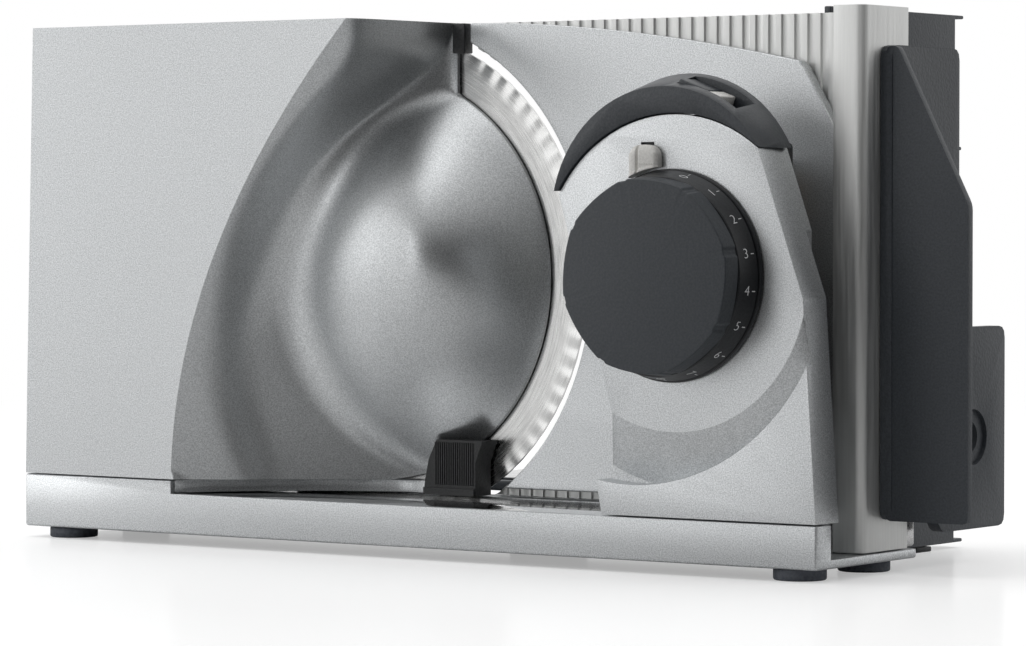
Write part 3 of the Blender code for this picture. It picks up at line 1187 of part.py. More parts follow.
# Remnant holder: a moulded plate with a guard across its near edge, a clip behind the leg,
# and short spikes on its inner side.
def make_holder(stop_slide):
    slide = empty_at("holder_axis", (LEG_RIGHT, FOOD_Y, THUMB_Z), stop_slide)
    left = LEG_RIGHT + GAP
    right = left + HOLDER_SHEET
    outline = rounded([(HOLDER_NEAR, HOLDER_LOW), (HOLDER_NEAR, HOLDER_TOP),
                       (HOLDER_UPPER_FAR, HOLDER_TOP), (HOLDER_UPPER_FAR, HOLDER_STEP_Z),
                       (HOLDER_FAR, HOLDER_STEP_Z), (HOLDER_FAR, HOLDER_BOTTOM),
                       (FOOD_Y + HOLDER_TOE, HOLDER_BOTTOM),
                       (FOOD_Y + HOLDER_TOE - HOLDER_CORNER, HOLDER_LOW)], HOLDER_CORNER)
    plate = keep("remnant_holder", outline_mesh(outline, left, right, "YZ"), SLATE, 0.5)
    inside = right - HOLDER_SHEET / 2
    guard = rounded([(inside, HOLDER_LOW), (HOLDER_REACH, HOLDER_LOW),
                     (HOLDER_REACH, GUARD_BEND_Z), (right + GUARD_CORNER, HOLDER_TOP - GAP),
                     (inside, HOLDER_TOP - GAP)], GUARD_CORNER)
    cut(plate, outline_mesh(guard, HOLDER_NEAR + GAP, HOLDER_NEAR + GUARD_SHEET, "XZ"), "UNION")
    cut(plate, bar_x(THUMB_RADIUS, left - FAR, right + FAR, THUMB_Y, THUMB_Z, 32))
    cut(plate, bar_x(DISH_RADIUS, right - DISH_DEPTH, right + FAR, THUMB_Y, THUMB_Z, 40))
    cut(plate, block((left - CLIP_REACH, FOOD_Y + GAP, CLIP_LOW),
                     (left + GAP, FOOD_Y + CLIP_SHEET, CLIP_HIGH)), "UNION")
    strip_near = FOOD_Y + SPIKE_STRIP_Y
    strip_left = left - GAP - SPIKE_STRIP_SHEET
    spikes = keep("spike_strip", block((strip_left, strip_near, SPIKE_STRIP_LOW),
                                       (left - GAP, strip_near + SPIKE_STRIP_WIDTH,
                                        SPIKE_STRIP_HIGH)), STEEL, 0.3, 1.0)
    middle_z = (SPIKE_STRIP_LOW + SPIKE_STRIP_HIGH) / 2
    reach_z = (SPIKE_STRIP_HIGH - SPIKE_STRIP_LOW) / 2 - 4 * SPIKE_RADIUS
    for y in (strip_near + 3 * SPIKE_RADIUS, strip_near + SPIKE_STRIP_WIDTH - 3 * SPIKE_RADIUS):
        for z in (middle_z - reach_z, middle_z, middle_z + reach_z):
            cut(spikes, bar_x(SPIKE_RADIUS, strip_left - SPIKE_LENGTH, strip_left + GAP, y, z, 8),
                "UNION")
    ride(slide, plate, spikes)


def make_gland():
    """Strain relief socket where a lead would enter, at the back of the base."""
    near = BASE_DEPTH + GAP
    gland = keep("cord_gland", turned(GLAND_RADIUS - GLAND_TAPER, GLAND_RADIUS, near,
                                      near + GLAND_LENGTH, GLAND_X, GLAND_Z, 24), BLACK, 0.7,
                 smooth=40)
    cut(gland, turned(GLAND_RADIUS / 2, GLAND_RADIUS / 2, -FAR, 2 * FAR, GLAND_X, GLAND_Z, 16))


make_base()
make_housing()
make_scraper()
make_drive()
make_tower()
make_knob()
make_holder(make_stop_plate())
make_carriage()
make_gland()

# Put the origin under the middle of the machine.
for piece in bpy.data.objects:
    if piece.parent is None:
        piece.location.x -= CENTRE_X
        piece.location.y -= CENTRE_Y
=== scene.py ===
import math

import bmesh
import bpy
from mathutils import Matrix, Vector


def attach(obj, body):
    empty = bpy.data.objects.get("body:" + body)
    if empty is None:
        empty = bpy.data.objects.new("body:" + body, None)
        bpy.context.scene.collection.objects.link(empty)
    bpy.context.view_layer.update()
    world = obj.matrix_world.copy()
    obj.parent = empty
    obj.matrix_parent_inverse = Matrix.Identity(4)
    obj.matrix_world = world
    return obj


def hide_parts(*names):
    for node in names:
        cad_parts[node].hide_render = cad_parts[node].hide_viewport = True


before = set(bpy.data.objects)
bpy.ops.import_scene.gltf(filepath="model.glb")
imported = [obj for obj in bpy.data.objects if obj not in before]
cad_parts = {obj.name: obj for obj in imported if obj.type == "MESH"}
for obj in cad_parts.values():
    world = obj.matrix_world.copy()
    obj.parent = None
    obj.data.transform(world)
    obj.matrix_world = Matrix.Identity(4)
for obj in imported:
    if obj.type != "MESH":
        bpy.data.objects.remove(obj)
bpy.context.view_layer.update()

# Camera: a long lens 1.4 m away, at table height, a third of the way round to the machine's
# right end. Points below are measured from the middle of the base's front edge on the table,
# and the machine stands with the middle of its whole length and depth at the origin.
MIDDLE = Vector((0.015625, 0.06705, 0))
LENS_PLACE = Vector((0.84626, -1.12618, 0.11778))
YAW = math.radians(35.31)
PITCH = math.radians(1.59)
FOCAL_LENGTH = 148.4
FILM_WIDTH = 36
NEAREST_SEEN = 0.1
FURTHEST_SEEN = 60


def shown(name, data):
    """A new object in the scene."""
    made = bpy.data.objects.new(name, data)
    bpy.context.scene.collection.objects.link(made)
    return made


def facing(made, direction):
    """Turn a lamp or the camera towards a direction, with its top up."""
    made.rotation_mode = "QUATERNION"
    made.rotation_quaternion = direction.to_track_quat("-Z", "Y")


camera = shown("camera", bpy.data.cameras.new("camera"))
camera.data.lens = FOCAL_LENGTH
camera.data.sensor_width = FILM_WIDTH
camera.data.clip_start = NEAREST_SEEN
camera.data.clip_end = FURTHEST_SEEN
camera.location = LENS_PLACE - MIDDLE
facing(camera, Vector((-math.sin(YAW) * math.cos(PITCH), math.cos(YAW) * math.cos(PITCH),
                       -math.sin(PITCH))))
bpy.context.scene.camera = camera
bpy.context.scene.view_settings.view_transform = "Standard"

# Studio: white walls behind the machine and at its left, and a dark card at the right of the
# camera, with soft changes between them, which the metal mirrors. Three soft boxes give the
# light, from the left front, from the left and from overhead.
WALLS = ((-166, 1.00), (-146, 0.95), (-126, 0.56), (-106, 0.36), (-86, 0.14), (-65, 0.05),
         (-36, 0.04), (-5, 0.12), (14, 0.45), (34, 0.90), (60, 1.00))
HALF_TURN = 180
FULL_TURN = 360
CEILING = (0.75, 0.75, 0.75)
CEILING_STARTS = 0.30
CEILING_FULL = 0.95
BEHIND = (-0.578, 0.816, 0.0)
BEHIND_STARTS = -0.1
BEHIND_FULL = 0.3
WHITE = (1, 1, 1, 1)
LAMP_TARGET = Vector((0, 0, 0.08))
# Places of a colour mix's sockets: its share, the colours at 0 and 1, and the colour it gives.
MIX_SHARE, MIX_DARK, MIX_LIGHT, MIXED = 0, 6, 7, 2


def counting(tree, kind, operation, fixed=None):
    """A node that calculates, with its second value where that is fixed."""
    made = tree.nodes.new(kind)
    made.operation = operation
    if fixed is not None:
        made.inputs[1].default_value = fixed
    return made


def ranging(tree, start, end, to_start=0.0, to_end=1.0, change="LINEAR"):
    """A node that carries one range of values over to another."""
    made = tree.nodes.new("ShaderNodeMapRange")
    made.interpolation_type = change
    made.inputs["From Min"].default_value = start
    made.inputs["From Max"].default_value = end
    made.inputs["To Min"].default_value = to_start
    made.inputs["To Max"].default_value = to_end
    return made


def mixing(tree, light, dark=None):
    """A node that mixes two colours, the darker of which may come from another node."""
    made = tree.nodes.new("ShaderNodeMix")
    made.data_type = "RGBA"
    made.inputs[MIX_LIGHT].default_value = (*light, 1)
    if dark:
        made.inputs[MIX_DARK].default_value = (*dark, 1)
    return made


def soft_box(name, place, *, width, height, watts):
    """One soft lamp, turned towards the machine."""
    lamp = shown(name, bpy.data.lights.new(name, "AREA"))
    lamp.data.shape = "RECTANGLE"
    lamp.data.size = width
    lamp.data.size_y = height
    lamp.data.energy = watts
    lamp.location = place
    facing(lamp, LAMP_TARGET - Vector(place))


world = bpy.data.worlds.new("studio")
bpy.context.scene.world = world
world.use_nodes = True
sky = world.node_tree
sky.nodes.clear()
link = sky.links.new
direction = sky.nodes.new("ShaderNodeTexCoord")
sky_out = sky.nodes.new("ShaderNodeOutputWorld")

# The walls' grey goes by the bearing, and towards the top it goes over into the ceiling's.
axes = sky.nodes.new("ShaderNodeSeparateXYZ")
bearing = counting(sky, "ShaderNodeMath", "ARCTAN2")
turn_share = ranging(sky, -math.pi, math.pi)
walls = sky.nodes.new("ShaderNodeValToRGB")
walls.color_ramp.interpolation = "B_SPLINE"
stops = walls.color_ramp.elements
for number, (degrees, level) in enumerate(WALLS):
    share = (degrees + HALF_TURN) / FULL_TURN
    stop = stops.new(share) if number else stops[0]
    stop.position = share
    stop.color = (level, level, level, 1)
height_share = ranging(sky, CEILING_STARTS, CEILING_FULL, change="SMOOTHSTEP")
ceiling = mixing(sky, CEILING)
room = sky.nodes.new("ShaderNodeBackground")
link(direction.outputs["Generated"], axes.inputs[0])
link(axes.outputs["Y"], bearing.inputs[0])
link(axes.outputs["X"], bearing.inputs[1])
link(bearing.outputs[0], turn_share.inputs["Value"])
link(turn_share.outputs["Result"], walls.inputs["Fac"])
link(axes.outputs["Z"], height_share.inputs["Value"])
link(height_share.outputs["Result"], ceiling.inputs[MIX_SHARE])
link(walls.outputs["Color"], ceiling.inputs[MIX_DARK])
link(ceiling.outputs[MIXED], room.inputs["Color"])

# The camera sees plain white, and so do metal and gloss where they mirror what is behind.
behind = counting(sky, "ShaderNodeVectorMath", "DOT_PRODUCT", BEHIND)
far_side = ranging(sky, BEHIND_STARTS, BEHIND_FULL, change="SMOOTHSTEP")
rays = sky.nodes.new("ShaderNodeLightPath")
mirrored_rays = counting(sky, "ShaderNodeMath", "MAXIMUM")
mirrored_far = counting(sky, "ShaderNodeMath", "MULTIPLY")
white_rays = counting(sky, "ShaderNodeMath", "MAXIMUM")
backdrop = sky.nodes.new("ShaderNodeBackground")
backdrop.inputs["Color"].default_value = WHITE
pick = sky.nodes.new("ShaderNodeMixShader")
link(direction.outputs["Generated"], behind.inputs[0])
link(behind.outputs["Value"], far_side.inputs["Value"])
link(rays.outputs["Is Glossy Ray"], mirrored_rays.inputs[0])
link(rays.outputs["Is Transmission Ray"], mirrored_rays.inputs[1])
link(mirrored_rays.outputs[0], mirrored_far.inputs[0])
link(far_side.outputs["Result"], mirrored_far.inputs[1])
link(rays.outputs["Is Camera Ray"], white_rays.inputs[0])
link(mirrored_far.outputs[0], white_rays.inputs[1])
link(white_rays.outputs[0], pick.inputs["Fac"])
link(room.outputs[0], pick.inputs[1])
link(backdrop.outputs[0], pick.inputs[2])
link(pick.outputs[0], sky_out.inputs["Surface"])

soft_box("front_box", (-0.48, -1.30, 0.30), width=0.5, height=0.8, watts=1.3)
soft_box("side_box", (-1.36, -0.72, 0.40), width=0.45, height=0.9, watts=2.4)
soft_box("top_box", (-0.25, -0.35, 1.50), width=1.1, height=0.8, watts=3.0)

# Table: a round white top, slightly glossy, so that the base is mirrored in it close by. It
# fades into the white backdrop further out, and at the machine's right it gives back little
# light, though the camera sees it as white there.
TABLE_SIDES = 96
TABLE_RADIUS = 1.3
TABLE_PALE = 0.80
DIM_TOWARDS = (0.95, -0.31, 0)
DIM_STARTS = 0.12
DIM_FULL = 0.48
DIM_PALE = 0.06
SEEN_LIFT = 0.42
MIRROR_ROUGHNESS = 0.16
MIRROR_NEAR = 0.16
MIRROR_ENDS = 0.75
MIRROR_SHARE = 0.16
FADE_STARTS = 0.40
FADE_FULL = 1.1

floor_mesh = bpy.data.meshes.new("table_top")
shape = bmesh.new()
bmesh.ops.create_circle(shape, cap_ends=True, segments=TABLE_SIDES, radius=TABLE_RADIUS)
shape.to_mesh(floor_mesh)
shape.free()
table_top = shown("table_top", floor_mesh)
table_white = bpy.data.materials.new("table_white")
table_white.use_nodes = True
tree = table_white.node_tree
tree.nodes.clear()
link = tree.links.new
where = tree.nodes.new("ShaderNodeTexCoord")
rays = tree.nodes.new("ShaderNodeLightPath")
top_out = tree.nodes.new("ShaderNodeOutputMaterial")

# Matt white, dimmed at the right for every ray but the camera's, with a lift that it alone sees.
towards = counting(tree, "ShaderNodeVectorMath", "DOT_PRODUCT", DIM_TOWARDS)
unlit = ranging(tree, DIM_STARTS, DIM_FULL, TABLE_PALE, DIM_PALE, "SMOOTHSTEP")
seen_white = counting(tree, "ShaderNodeMath", "MULTIPLY", TABLE_PALE)
paler = counting(tree, "ShaderNodeMath", "MAXIMUM")
matt = tree.nodes.new("ShaderNodeBsdfDiffuse")
lifted = counting(tree, "ShaderNodeMath", "MULTIPLY", SEEN_LIFT)
lift = tree.nodes.new("ShaderNodeEmission")
both = tree.nodes.new("ShaderNodeAddShader")
link(where.outputs["Object"], towards.inputs[0])
link(towards.outputs["Value"], unlit.inputs["Value"])
link(rays.outputs["Is Camera Ray"], seen_white.inputs[0])
link(seen_white.outputs[0], paler.inputs[0])
link(unlit.outputs["Result"], paler.inputs[1])
link(paler.outputs[0], matt.inputs["Color"])
link(rays.outputs["Is Camera Ray"], lifted.inputs[0])
link(lifted.outputs[0], lift.inputs["Strength"])
link(matt.outputs[0], both.inputs[0])
link(lift.outputs[0], both.inputs[1])

# The gloss ends some way out, and further out the camera sees plain white.
away = tree.nodes.new("ShaderNodeVectorMath")
away.operation = "LENGTH"
near_mask = ranging(tree, MIRROR_NEAR, MIRROR_ENDS, MIRROR_SHARE, 0.0, "SMOOTHSTEP")
gloss = tree.nodes.new("ShaderNodeBsdfGlossy")
gloss.inputs["Color"].default_value = WHITE
gloss.inputs["Roughness"].default_value = MIRROR_ROUGHNESS
mirrored = tree.nodes.new("ShaderNodeMixShader")
far_mask = ranging(tree, FADE_STARTS, FADE_FULL, change="SMOOTHSTEP")
far_seen = counting(tree, "ShaderNodeMath", "MULTIPLY")
white = tree.nodes.new("ShaderNodeEmission")
faded = tree.nodes.new("ShaderNodeMixShader")
link(where.outputs["Object"], away.inputs[0])
link(away.outputs["Value"], near_mask.inputs["Value"])
link(away.outputs["Value"], far_mask.inputs["Value"])
link(near_mask.outputs["Result"], mirrored.inputs["Fac"])
link(both.outputs[0], mirrored.inputs[1])
link(gloss.outputs[0], mirrored.inputs[2])
link(far_mask.outputs["Result"], far_seen.inputs[0])
link(rays.outputs["Is Camera Ray"], far_seen.inputs[1])
link(far_seen.outputs[0], faded.inputs["Fac"])
link(mirrored.outputs[0], faded.inputs[1])
link(white.outputs[0], faded.inputs[2])
link(faded.outputs[0], top_out.inputs["Surface"])
floor_mesh.materials.append(table_white)

# Base: a moulded shell in silver paint with fine metal flakes. It has rounded edges, a shallow
# recess for the tray and a lower ledge under the stop plate's leg.
GRAIN_FINENESS = 2200.0
CLOUD_SIZE = 9.0
SPECK_DETAIL = 1.5
SPECK_ROUGHNESS = 0.6
CLOUD_DETAIL = 2.0
CELLS_TO_SPECKS = 0.6
SPECK_RANGE = (0.35, 0.65)
GLOSS_RANGE = (0.3, 0.7)
GLOSS_VARIES = 0.04
GRAIN_HEIGHT = 0.0004
MERGED_WITHIN = 0.000002
FLAT_WITHIN = math.radians(0.6)

grain = bpy.data.node_groups.new("fine_grain", "ShaderNodeTree")
for label, value in (("Fineness", GRAIN_FINENESS), ("Cloud Size", CLOUD_SIZE)):
    socket = grain.interface.new_socket(label, in_out="INPUT", socket_type="NodeSocketFloat")
    socket.default_value = value
for label in ("Speck", "Cloud", "Height"):
    grain.interface.new_socket(label, in_out="OUTPUT", socket_type="NodeSocketFloat")
given = grain.nodes.new("NodeGroupInput")
result = grain.nodes.new("NodeGroupOutput")
place = grain.nodes.new("ShaderNodeTexCoord")
specks = grain.nodes.new("ShaderNodeTexNoise")
specks.inputs["Detail"].default_value = SPECK_DETAIL
specks.inputs["Roughness"].default_value = SPECK_ROUGHNESS
cloud = grain.nodes.new("ShaderNodeTexNoise")
cloud.inputs["Detail"].default_value = CLOUD_DETAIL
cells = grain.nodes.new("ShaderNodeTexVoronoi")
coarser = counting(grain, "ShaderNodeMath", "MULTIPLY", CELLS_TO_SPECKS)
link = grain.links.new
for pattern in (specks, cloud, cells):
    link(place.outputs["Object"], pattern.inputs["Vector"])
link(given.outputs["Fineness"], specks.inputs["Scale"])
link(given.outputs["Fineness"], coarser.inputs[0])
link(coarser.outputs[0], cells.inputs["Scale"])
link(given.outputs["Cloud Size"], cloud.inputs["Scale"])
link(specks.outputs["Fac"], result.inputs["Speck"])
link(cloud.outputs["Fac"], result.inputs["Cloud"])
link(cells.outputs["Distance"], result.inputs["Height"])


def new_finish(name, dark, light, *, metallic, tones, glosses, depth, height):
    """A finish, and the inputs that its tone, its gloss and its surface follow."""
    made = bpy.data.materials.new(name)
    made.use_nodes = True
    tree = made.node_tree
    body = tree.nodes["Principled BSDF"]
    body.inputs["Metallic"].default_value = metallic
    tone = ranging(tree, *tones)
    colour = mixing(tree, light, dark)
    rough = ranging(tree, *GLOSS_RANGE, *glosses)
    bump = tree.nodes.new("ShaderNodeBump")
    bump.inputs["Strength"].default_value = depth
    bump.inputs["Distance"].default_value = height
    tree.links.new(tone.outputs["Result"], colour.inputs[MIX_SHARE])
    tree.links.new(colour.outputs[MIXED], body.inputs["Base Color"])
    tree.links.new(rough.outputs["Result"], body.inputs["Roughness"])
    tree.links.new(bump.outputs["Normal"], body.inputs["Normal"])
    return made, (tone.inputs["Value"], rough.inputs["Value"], bump.inputs["Height"])


def grained(name, dark, light, *, roughness, fineness, depth, metallic=0.0):
    """A painted or moulded finish whose colour, gloss and surface vary with the grain."""
    glosses = (roughness - GLOSS_VARIES, roughness + GLOSS_VARIES)
    made, followers = new_finish(name, dark, light, metallic=metallic, tones=SPECK_RANGE,
                                 glosses=glosses, depth=depth, height=GRAIN_HEIGHT)
    source = made.node_tree.nodes.new("ShaderNodeGroup")
    source.node_tree = grain
    source.inputs["Fineness"].default_value = fineness
    for label, follower in zip(("Speck", "Cloud", "Height"), followers):
        made.node_tree.links.new(source.outputs[label], follower)
    return made


def rounded(made, width, segments, angle):
    """Round a piece's sharp edges."""
    edges = made.modifiers.new("edges", "BEVEL")
    edges.width = width
    edges.segments = segments
    edges.limit_method = "ANGLE"
    edges.angle_limit = math.radians(angle)
    edges.harden_normals = True


def dressed(name, node, body, finish, *, edge, segments=2, angle=40):
    """A copy of a plain solid with its sharp edges rounded, in its own finish."""
    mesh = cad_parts[node].data.copy()
    mesh.name = name
    edit = bmesh.new()
    edit.from_mesh(mesh)
    bmesh.ops.remove_doubles(edit, verts=edit.verts, dist=MERGED_WITHIN)
    bmesh.ops.dissolve_limit(edit, angle_limit=FLAT_WITHIN, verts=edit.verts, edges=edit.edges)
    edit.to_mesh(mesh)
    edit.free()
    made = shown(name, mesh)
    mesh.materials.clear()
    mesh.materials.append(finish)
    mesh.shade_smooth()
    rounded(made, edge, segments, angle)
    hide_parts(node)
    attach(made, body)
    return made


silver = grained("silver_paint", (0.47, 0.485, 0.495), (0.73, 0.745, 0.755), roughness=0.41,
                 fineness=2400, depth=0.05, metallic=1.0)
dressed("base_body", "base_shell", "base", silver, edge=0.0003)

# Feet and underside: four dark blue-grey rubber pads pressed into the base. The plate between
# them and the socket for a lead at the back are plain black plastic.
rubber = grained("foot_rubber", (0.085, 0.095, 0.115), (0.125, 0.135, 0.155), roughness=0.75,
                 fineness=900, depth=0.3)
under_black = grained("underside_black", (0.012, 0.012, 0.014), (0.026, 0.027, 0.030),
                      roughness=0.6, fineness=1300, depth=0.2)
for corner in ("front_left", "front_right", "back_left", "back_right"):
    dressed("rubber_foot_" + corner, "foot_" + corner, "base", rubber, edge=0.0006)
dressed("underside_plate", "base_bottom_plate", "base", under_black, edge=0.0002)
dressed("lead_socket", "cord_gland", "base", under_black, edge=0.0003)

# Tray: a thin sheet of polished steel that catches the slices. It lies in the base's recess,
# and its faint brushing runs along the machine.
STREAK_DETAIL = 3
STREAK_RANGE = (0.3, 0.7)
STREAK_HEIGHT = 0.0002
SMOOTHEST = 0.8
ROUGHEST = 1.25
ALONG_X = (0.02, 1, 1)


def metal(name, dark, light, *, roughness, depth, stretch=(1, 1, 1), scale=900.0, metallic=1.0):
    """Brushed metal: streaks along the axis whose stretch is smallest."""
    made, followers = new_finish(name, dark, light, metallic=metallic, tones=STREAK_RANGE,
                                 glosses=(roughness * SMOOTHEST, roughness * ROUGHEST),
                                 depth=depth, height=STREAK_HEIGHT)
    nodes = made.node_tree.nodes
    link = made.node_tree.links.new
    place = nodes.new("ShaderNodeTexCoord")
    turn = nodes.new("ShaderNodeMapping")
    turn.inputs["Scale"].default_value = stretch
    streaks = nodes.new("ShaderNodeTexNoise")
    streaks.inputs["Scale"].default_value = scale
    streaks.inputs["Detail"].default_value = STREAK_DETAIL
    link(place.outputs["Object"], turn.inputs["Vector"])
    link(turn.outputs["Vector"], streaks.inputs["Vector"])
    for follower in followers:
        link(streaks.outputs["Fac"], follower)
    return made


tray_steel = metal("tray_steel", (0.60, 0.605, 0.61), (0.72, 0.725, 0.73), roughness=0.10,
                   depth=0.02, stretch=ALONG_X)
dressed("tray", "tray_plate", "base", tray_steel, edge=0.00015)

# Motor housing: one moulded part in silver paint. Its flat side ends in a long bowed crease, and
# a flank with a steeper band slopes back from there. A dome over the big gear rises from the
# valley at the flank's foot and falls to the blade, and a skirt closes the bottom.
HOUSING_LOW = 0.0229
HOUSING_HIGH = 0.1806
HOUSING_BACK = 0.0540
HOUSING_LEFT = -0.16385
HOUSING_LEAN = 0.0040
HOUSING_ROWS = 150
STEEP_COLUMNS = 70
DOME_COLUMNS = 70
FLAT_COLUMN = 0.03
CREASE_COLUMN = 0.012
EDGE_DEPTH = HOUSING_BACK - 0.0015
AXIS_X = -0.0447
AXIS_Z = 0.0931
RIM = 0.0709
TOP_EDGE_X = -0.0120
STEP_X = -0.0968
CREASE_LOW_Z = 0.0200
CREASE_SWEEP = 0.0767
DOME_HEIGHT = 0.0340
DOME_X = -0.0080
DOME_Z = 0.1010
DOME_FULLNESS = 1.20
FLANK_SLOPE = 0.95
FLANK_EASE = 0.30
FLANK_EASE_Z = 0.0780
FLANK_EASE_REACH = 0.0100
STEEP_Z = 0.1120
STEEP_REACH = 0.0048
STEEP_SPREAD = 2.6
STEEP_WIDTH_SHARE = 0.62
STEEP_DEPTH = 0.0110
STEEP_GROWTH = 8.5
STEEP_FADE = 0.8
STEEP_SOFTNESS = 0.0016
STEEP_CRISPER = 0.013
STEEP_CRISPEST = 0.0008
STEEP_BAND = 0.0160
STEEP_BAND_SHARE = 0.7
VALLEY_BLEND = 0.0110
VALLEY_BLEND_LEAST = 0.0030
SKIRT_END = 0.0640
SKIRT_BOW = 0.0430
SKIRT_RISE = 1.2
SKIRT_BLEND = 0.0050


def crease_x(z):
    """The crease's place at a height: it bows to the right towards the top."""
    return STEP_X + CREASE_SWEEP * ((z - CREASE_LOW_Z) / (HOUSING_HIGH - CREASE_LOW_Z)) ** 2


def rim_x(z):
    """The sculpted part's right edge: the dome's rim, and a straight edge above it."""
    height = z - AXIS_Z
    if abs(height) < RIM:
        x = AXIS_X + math.sqrt(RIM ** 2 - height ** 2)
        if height < 0 or x > TOP_EDGE_X:
            return x
    return TOP_EDGE_X


def smooth_nearer(first, second, blend):
    """The nearer of two depths, with a round transition as wide as the blend."""
    mix = min(max(0.5 + 0.5 * (second - first) / blend, 0.0), 1.0)
    return second * (1 - mix) + first * mix - blend * mix * (1 - mix)


def steep_reach(z):
    """How far right of the crease the steeper band lies."""
    wanted = STEEP_REACH + STEEP_SPREAD * (z - STEEP_Z) ** 2
    most = STEEP_WIDTH_SHARE * (rim_x(z) - crease_x(z))
    return (wanted ** -4 + most ** -4) ** -0.25


def flank_y(x, z):
    """Depth of the flank, with its steeper band."""
    reach = max(x - crease_x(z), 0.0)
    above = max(z - STEEP_Z, 0.0)
    below = max(STEEP_Z - z, 0.0)
    ease = FLANK_EASE / (1 + math.exp((z - FLANK_EASE_Z) / FLANK_EASE_REACH))
    depth = max(STEEP_DEPTH + STEEP_GROWTH * above ** 2 - STEEP_FADE * below ** 2, 0.0)
    soft = max(STEEP_SOFTNESS - STEEP_CRISPER * above, STEEP_CRISPEST)
    start = 1 / (1 + math.exp(steep_reach(z) / soft))
    share = 1 / (1 + math.exp((steep_reach(z) - reach) / soft))
    return (FLANK_SLOPE - ease) * reach + depth * (share - start) / (1 - start)


def dome_share(x, z):
    """The dome's rise: 1 at its top, 0 at its rim and outside it."""
    from_top = Vector((x - DOME_X, z - DOME_Z))
    drift = Vector((AXIS_X - DOME_X, AXIS_Z - DOME_Z))
    square = RIM ** 2 - drift.length_squared
    half = from_top.dot(drift)
    grown_to = (math.sqrt(half ** 2 + square * from_top.length_squared) - half) / square
    return max(1 - grown_to ** 2, 0.0)


def skirt_y(x, z):
    """Depth of the skirt along the bottom, a bowed line in plan."""
    run = max(x - STEP_X, 0.0)
    return SKIRT_END * (1 - math.exp(-run / SKIRT_BOW)) + (z - HOUSING_LOW) * SKIRT_RISE


def front_y(x, z):
    """Depth of the sculpted front right of the crease."""
    share = dome_share(x, z)
    dome = EDGE_DEPTH - DOME_HEIGHT * share ** DOME_FULLNESS
    body = smooth_nearer(flank_y(x, z), dome, VALLEY_BLEND * share + VALLEY_BLEND_LEAST)
    near = smooth_nearer(body, skirt_y(x, z), SKIRT_BLEND)
    return min(max(near, 0.0), EDGE_DEPTH)


def piece(name, shape, body, finish, *nodes, slot=None, smooth=35):
    """Turn mesh work measured from the base's front edge into a finished piece."""
    bmesh.ops.recalc_face_normals(shape, faces=shape.faces)
    bmesh.ops.translate(shape, vec=-MIDDLE, verts=shape.verts)
    mesh = bpy.data.meshes.new(name)
    shape.to_mesh(mesh)
    shape.free()
    mesh.materials.append(finish)
    mesh.shade_smooth()
    mesh.set_sharp_from_angle(angle=math.radians(smooth))
    made = shown(name, mesh)
    if nodes:
        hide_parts(*nodes)
    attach(made, body)
    return made


work = bmesh.new()
front = []
back = []
for r in range(HOUSING_ROWS + 1):
    z = HOUSING_LOW + (HOUSING_HIGH - HOUSING_LOW) * r / HOUSING_ROWS
    start = crease_x(z)
    width = rim_x(z) - start
    left = HOUSING_LEFT + HOUSING_LEAN * r / HOUSING_ROWS
    steep = min(steep_reach(z) + STEEP_BAND, width * STEEP_BAND_SHARE)
    flat_xs = [left, left + FLAT_COLUMN, start - CREASE_COLUMN, start]
    xs = [start + steep * c / STEEP_COLUMNS for c in range(1, STEEP_COLUMNS + 1)]
    xs += [start + steep + (width - steep) * c / DOME_COLUMNS
           for c in range(1, DOME_COLUMNS + 1)]
    points = [(x, 0.0) for x in flat_xs] + [(x, front_y(x, z)) for x in xs]
    front.append([work.verts.new((x, y, z)) for x, y in points])
    back.append([work.verts.new((x, HOUSING_BACK, z)) for x in (left, xs[-1])])
last = len(front[0]) - 1
for r in range(HOUSING_ROWS):
    for c in range(last):
        work.faces.new((front[r][c], front[r][c + 1], front[r + 1][c + 1], front[r + 1][c]))
    work.faces.new((front[r][0], front[r + 1][0], back[r + 1][0], back[r][0]))
    work.faces.new((front[r][last], back[r][1], back[r + 1][1], front[r + 1][last]))
    work.faces.new((back[r][0], back[r + 1][0], back[r + 1][1], back[r][1]))
work.faces.new([*front[0][::-1], back[0][0], back[0][1]])
work.faces.new([*front[HOUSING_ROWS], back[HOUSING_ROWS][1], back[HOUSING_ROWS][0]])
housing = piece("housing", work, "base", silver, "motor_housing", slot="silver_paint", smooth=25)
rounded(housing, width=0.0007, segments=3, angle=30)
dressed("plinth", "housing_plinth", "base", silver, edge=0.0002)
dressed("fence", "back_cover", "base", silver, edge=0.0004)

# Blade: a round steel blade, screwed to its hub. Its ring is brushed round the axis, and
# hollow-ground waves run along the edge on the operator's side.
BLADE_RADIUS = 0.0850
BLADE_FRONT = 0.0546
BLADE_BACK = 0.0558
BLADE_RINGS = (0.0054, 0.020, 0.045, 0.066, 0.0745, 0.0785, 0.0795, 0.0805, 0.0815, 0.0825,
               0.0835, 0.0842, BLADE_RADIUS)
GROUND_FROM = 0.0790
GROUND_WIDTH = 0.0060
TEETH = 76
STEPS_PER_TOOTH = 14
WAVE_NOTCH = 0.0001
WAVE_DEPTH = 0.00030
WAVE_SLOPE = 0.00015
STREAK_TURN = 0.004
IN_PLANE = (1, 0, 1)


def band(work, first, second):
    """Faces from one closed ring of corners to another."""
    for i in range(len(first)):
        j = (i + 1) % len(first)
        work.faces.new((first[i], first[j], second[j], second[i]))


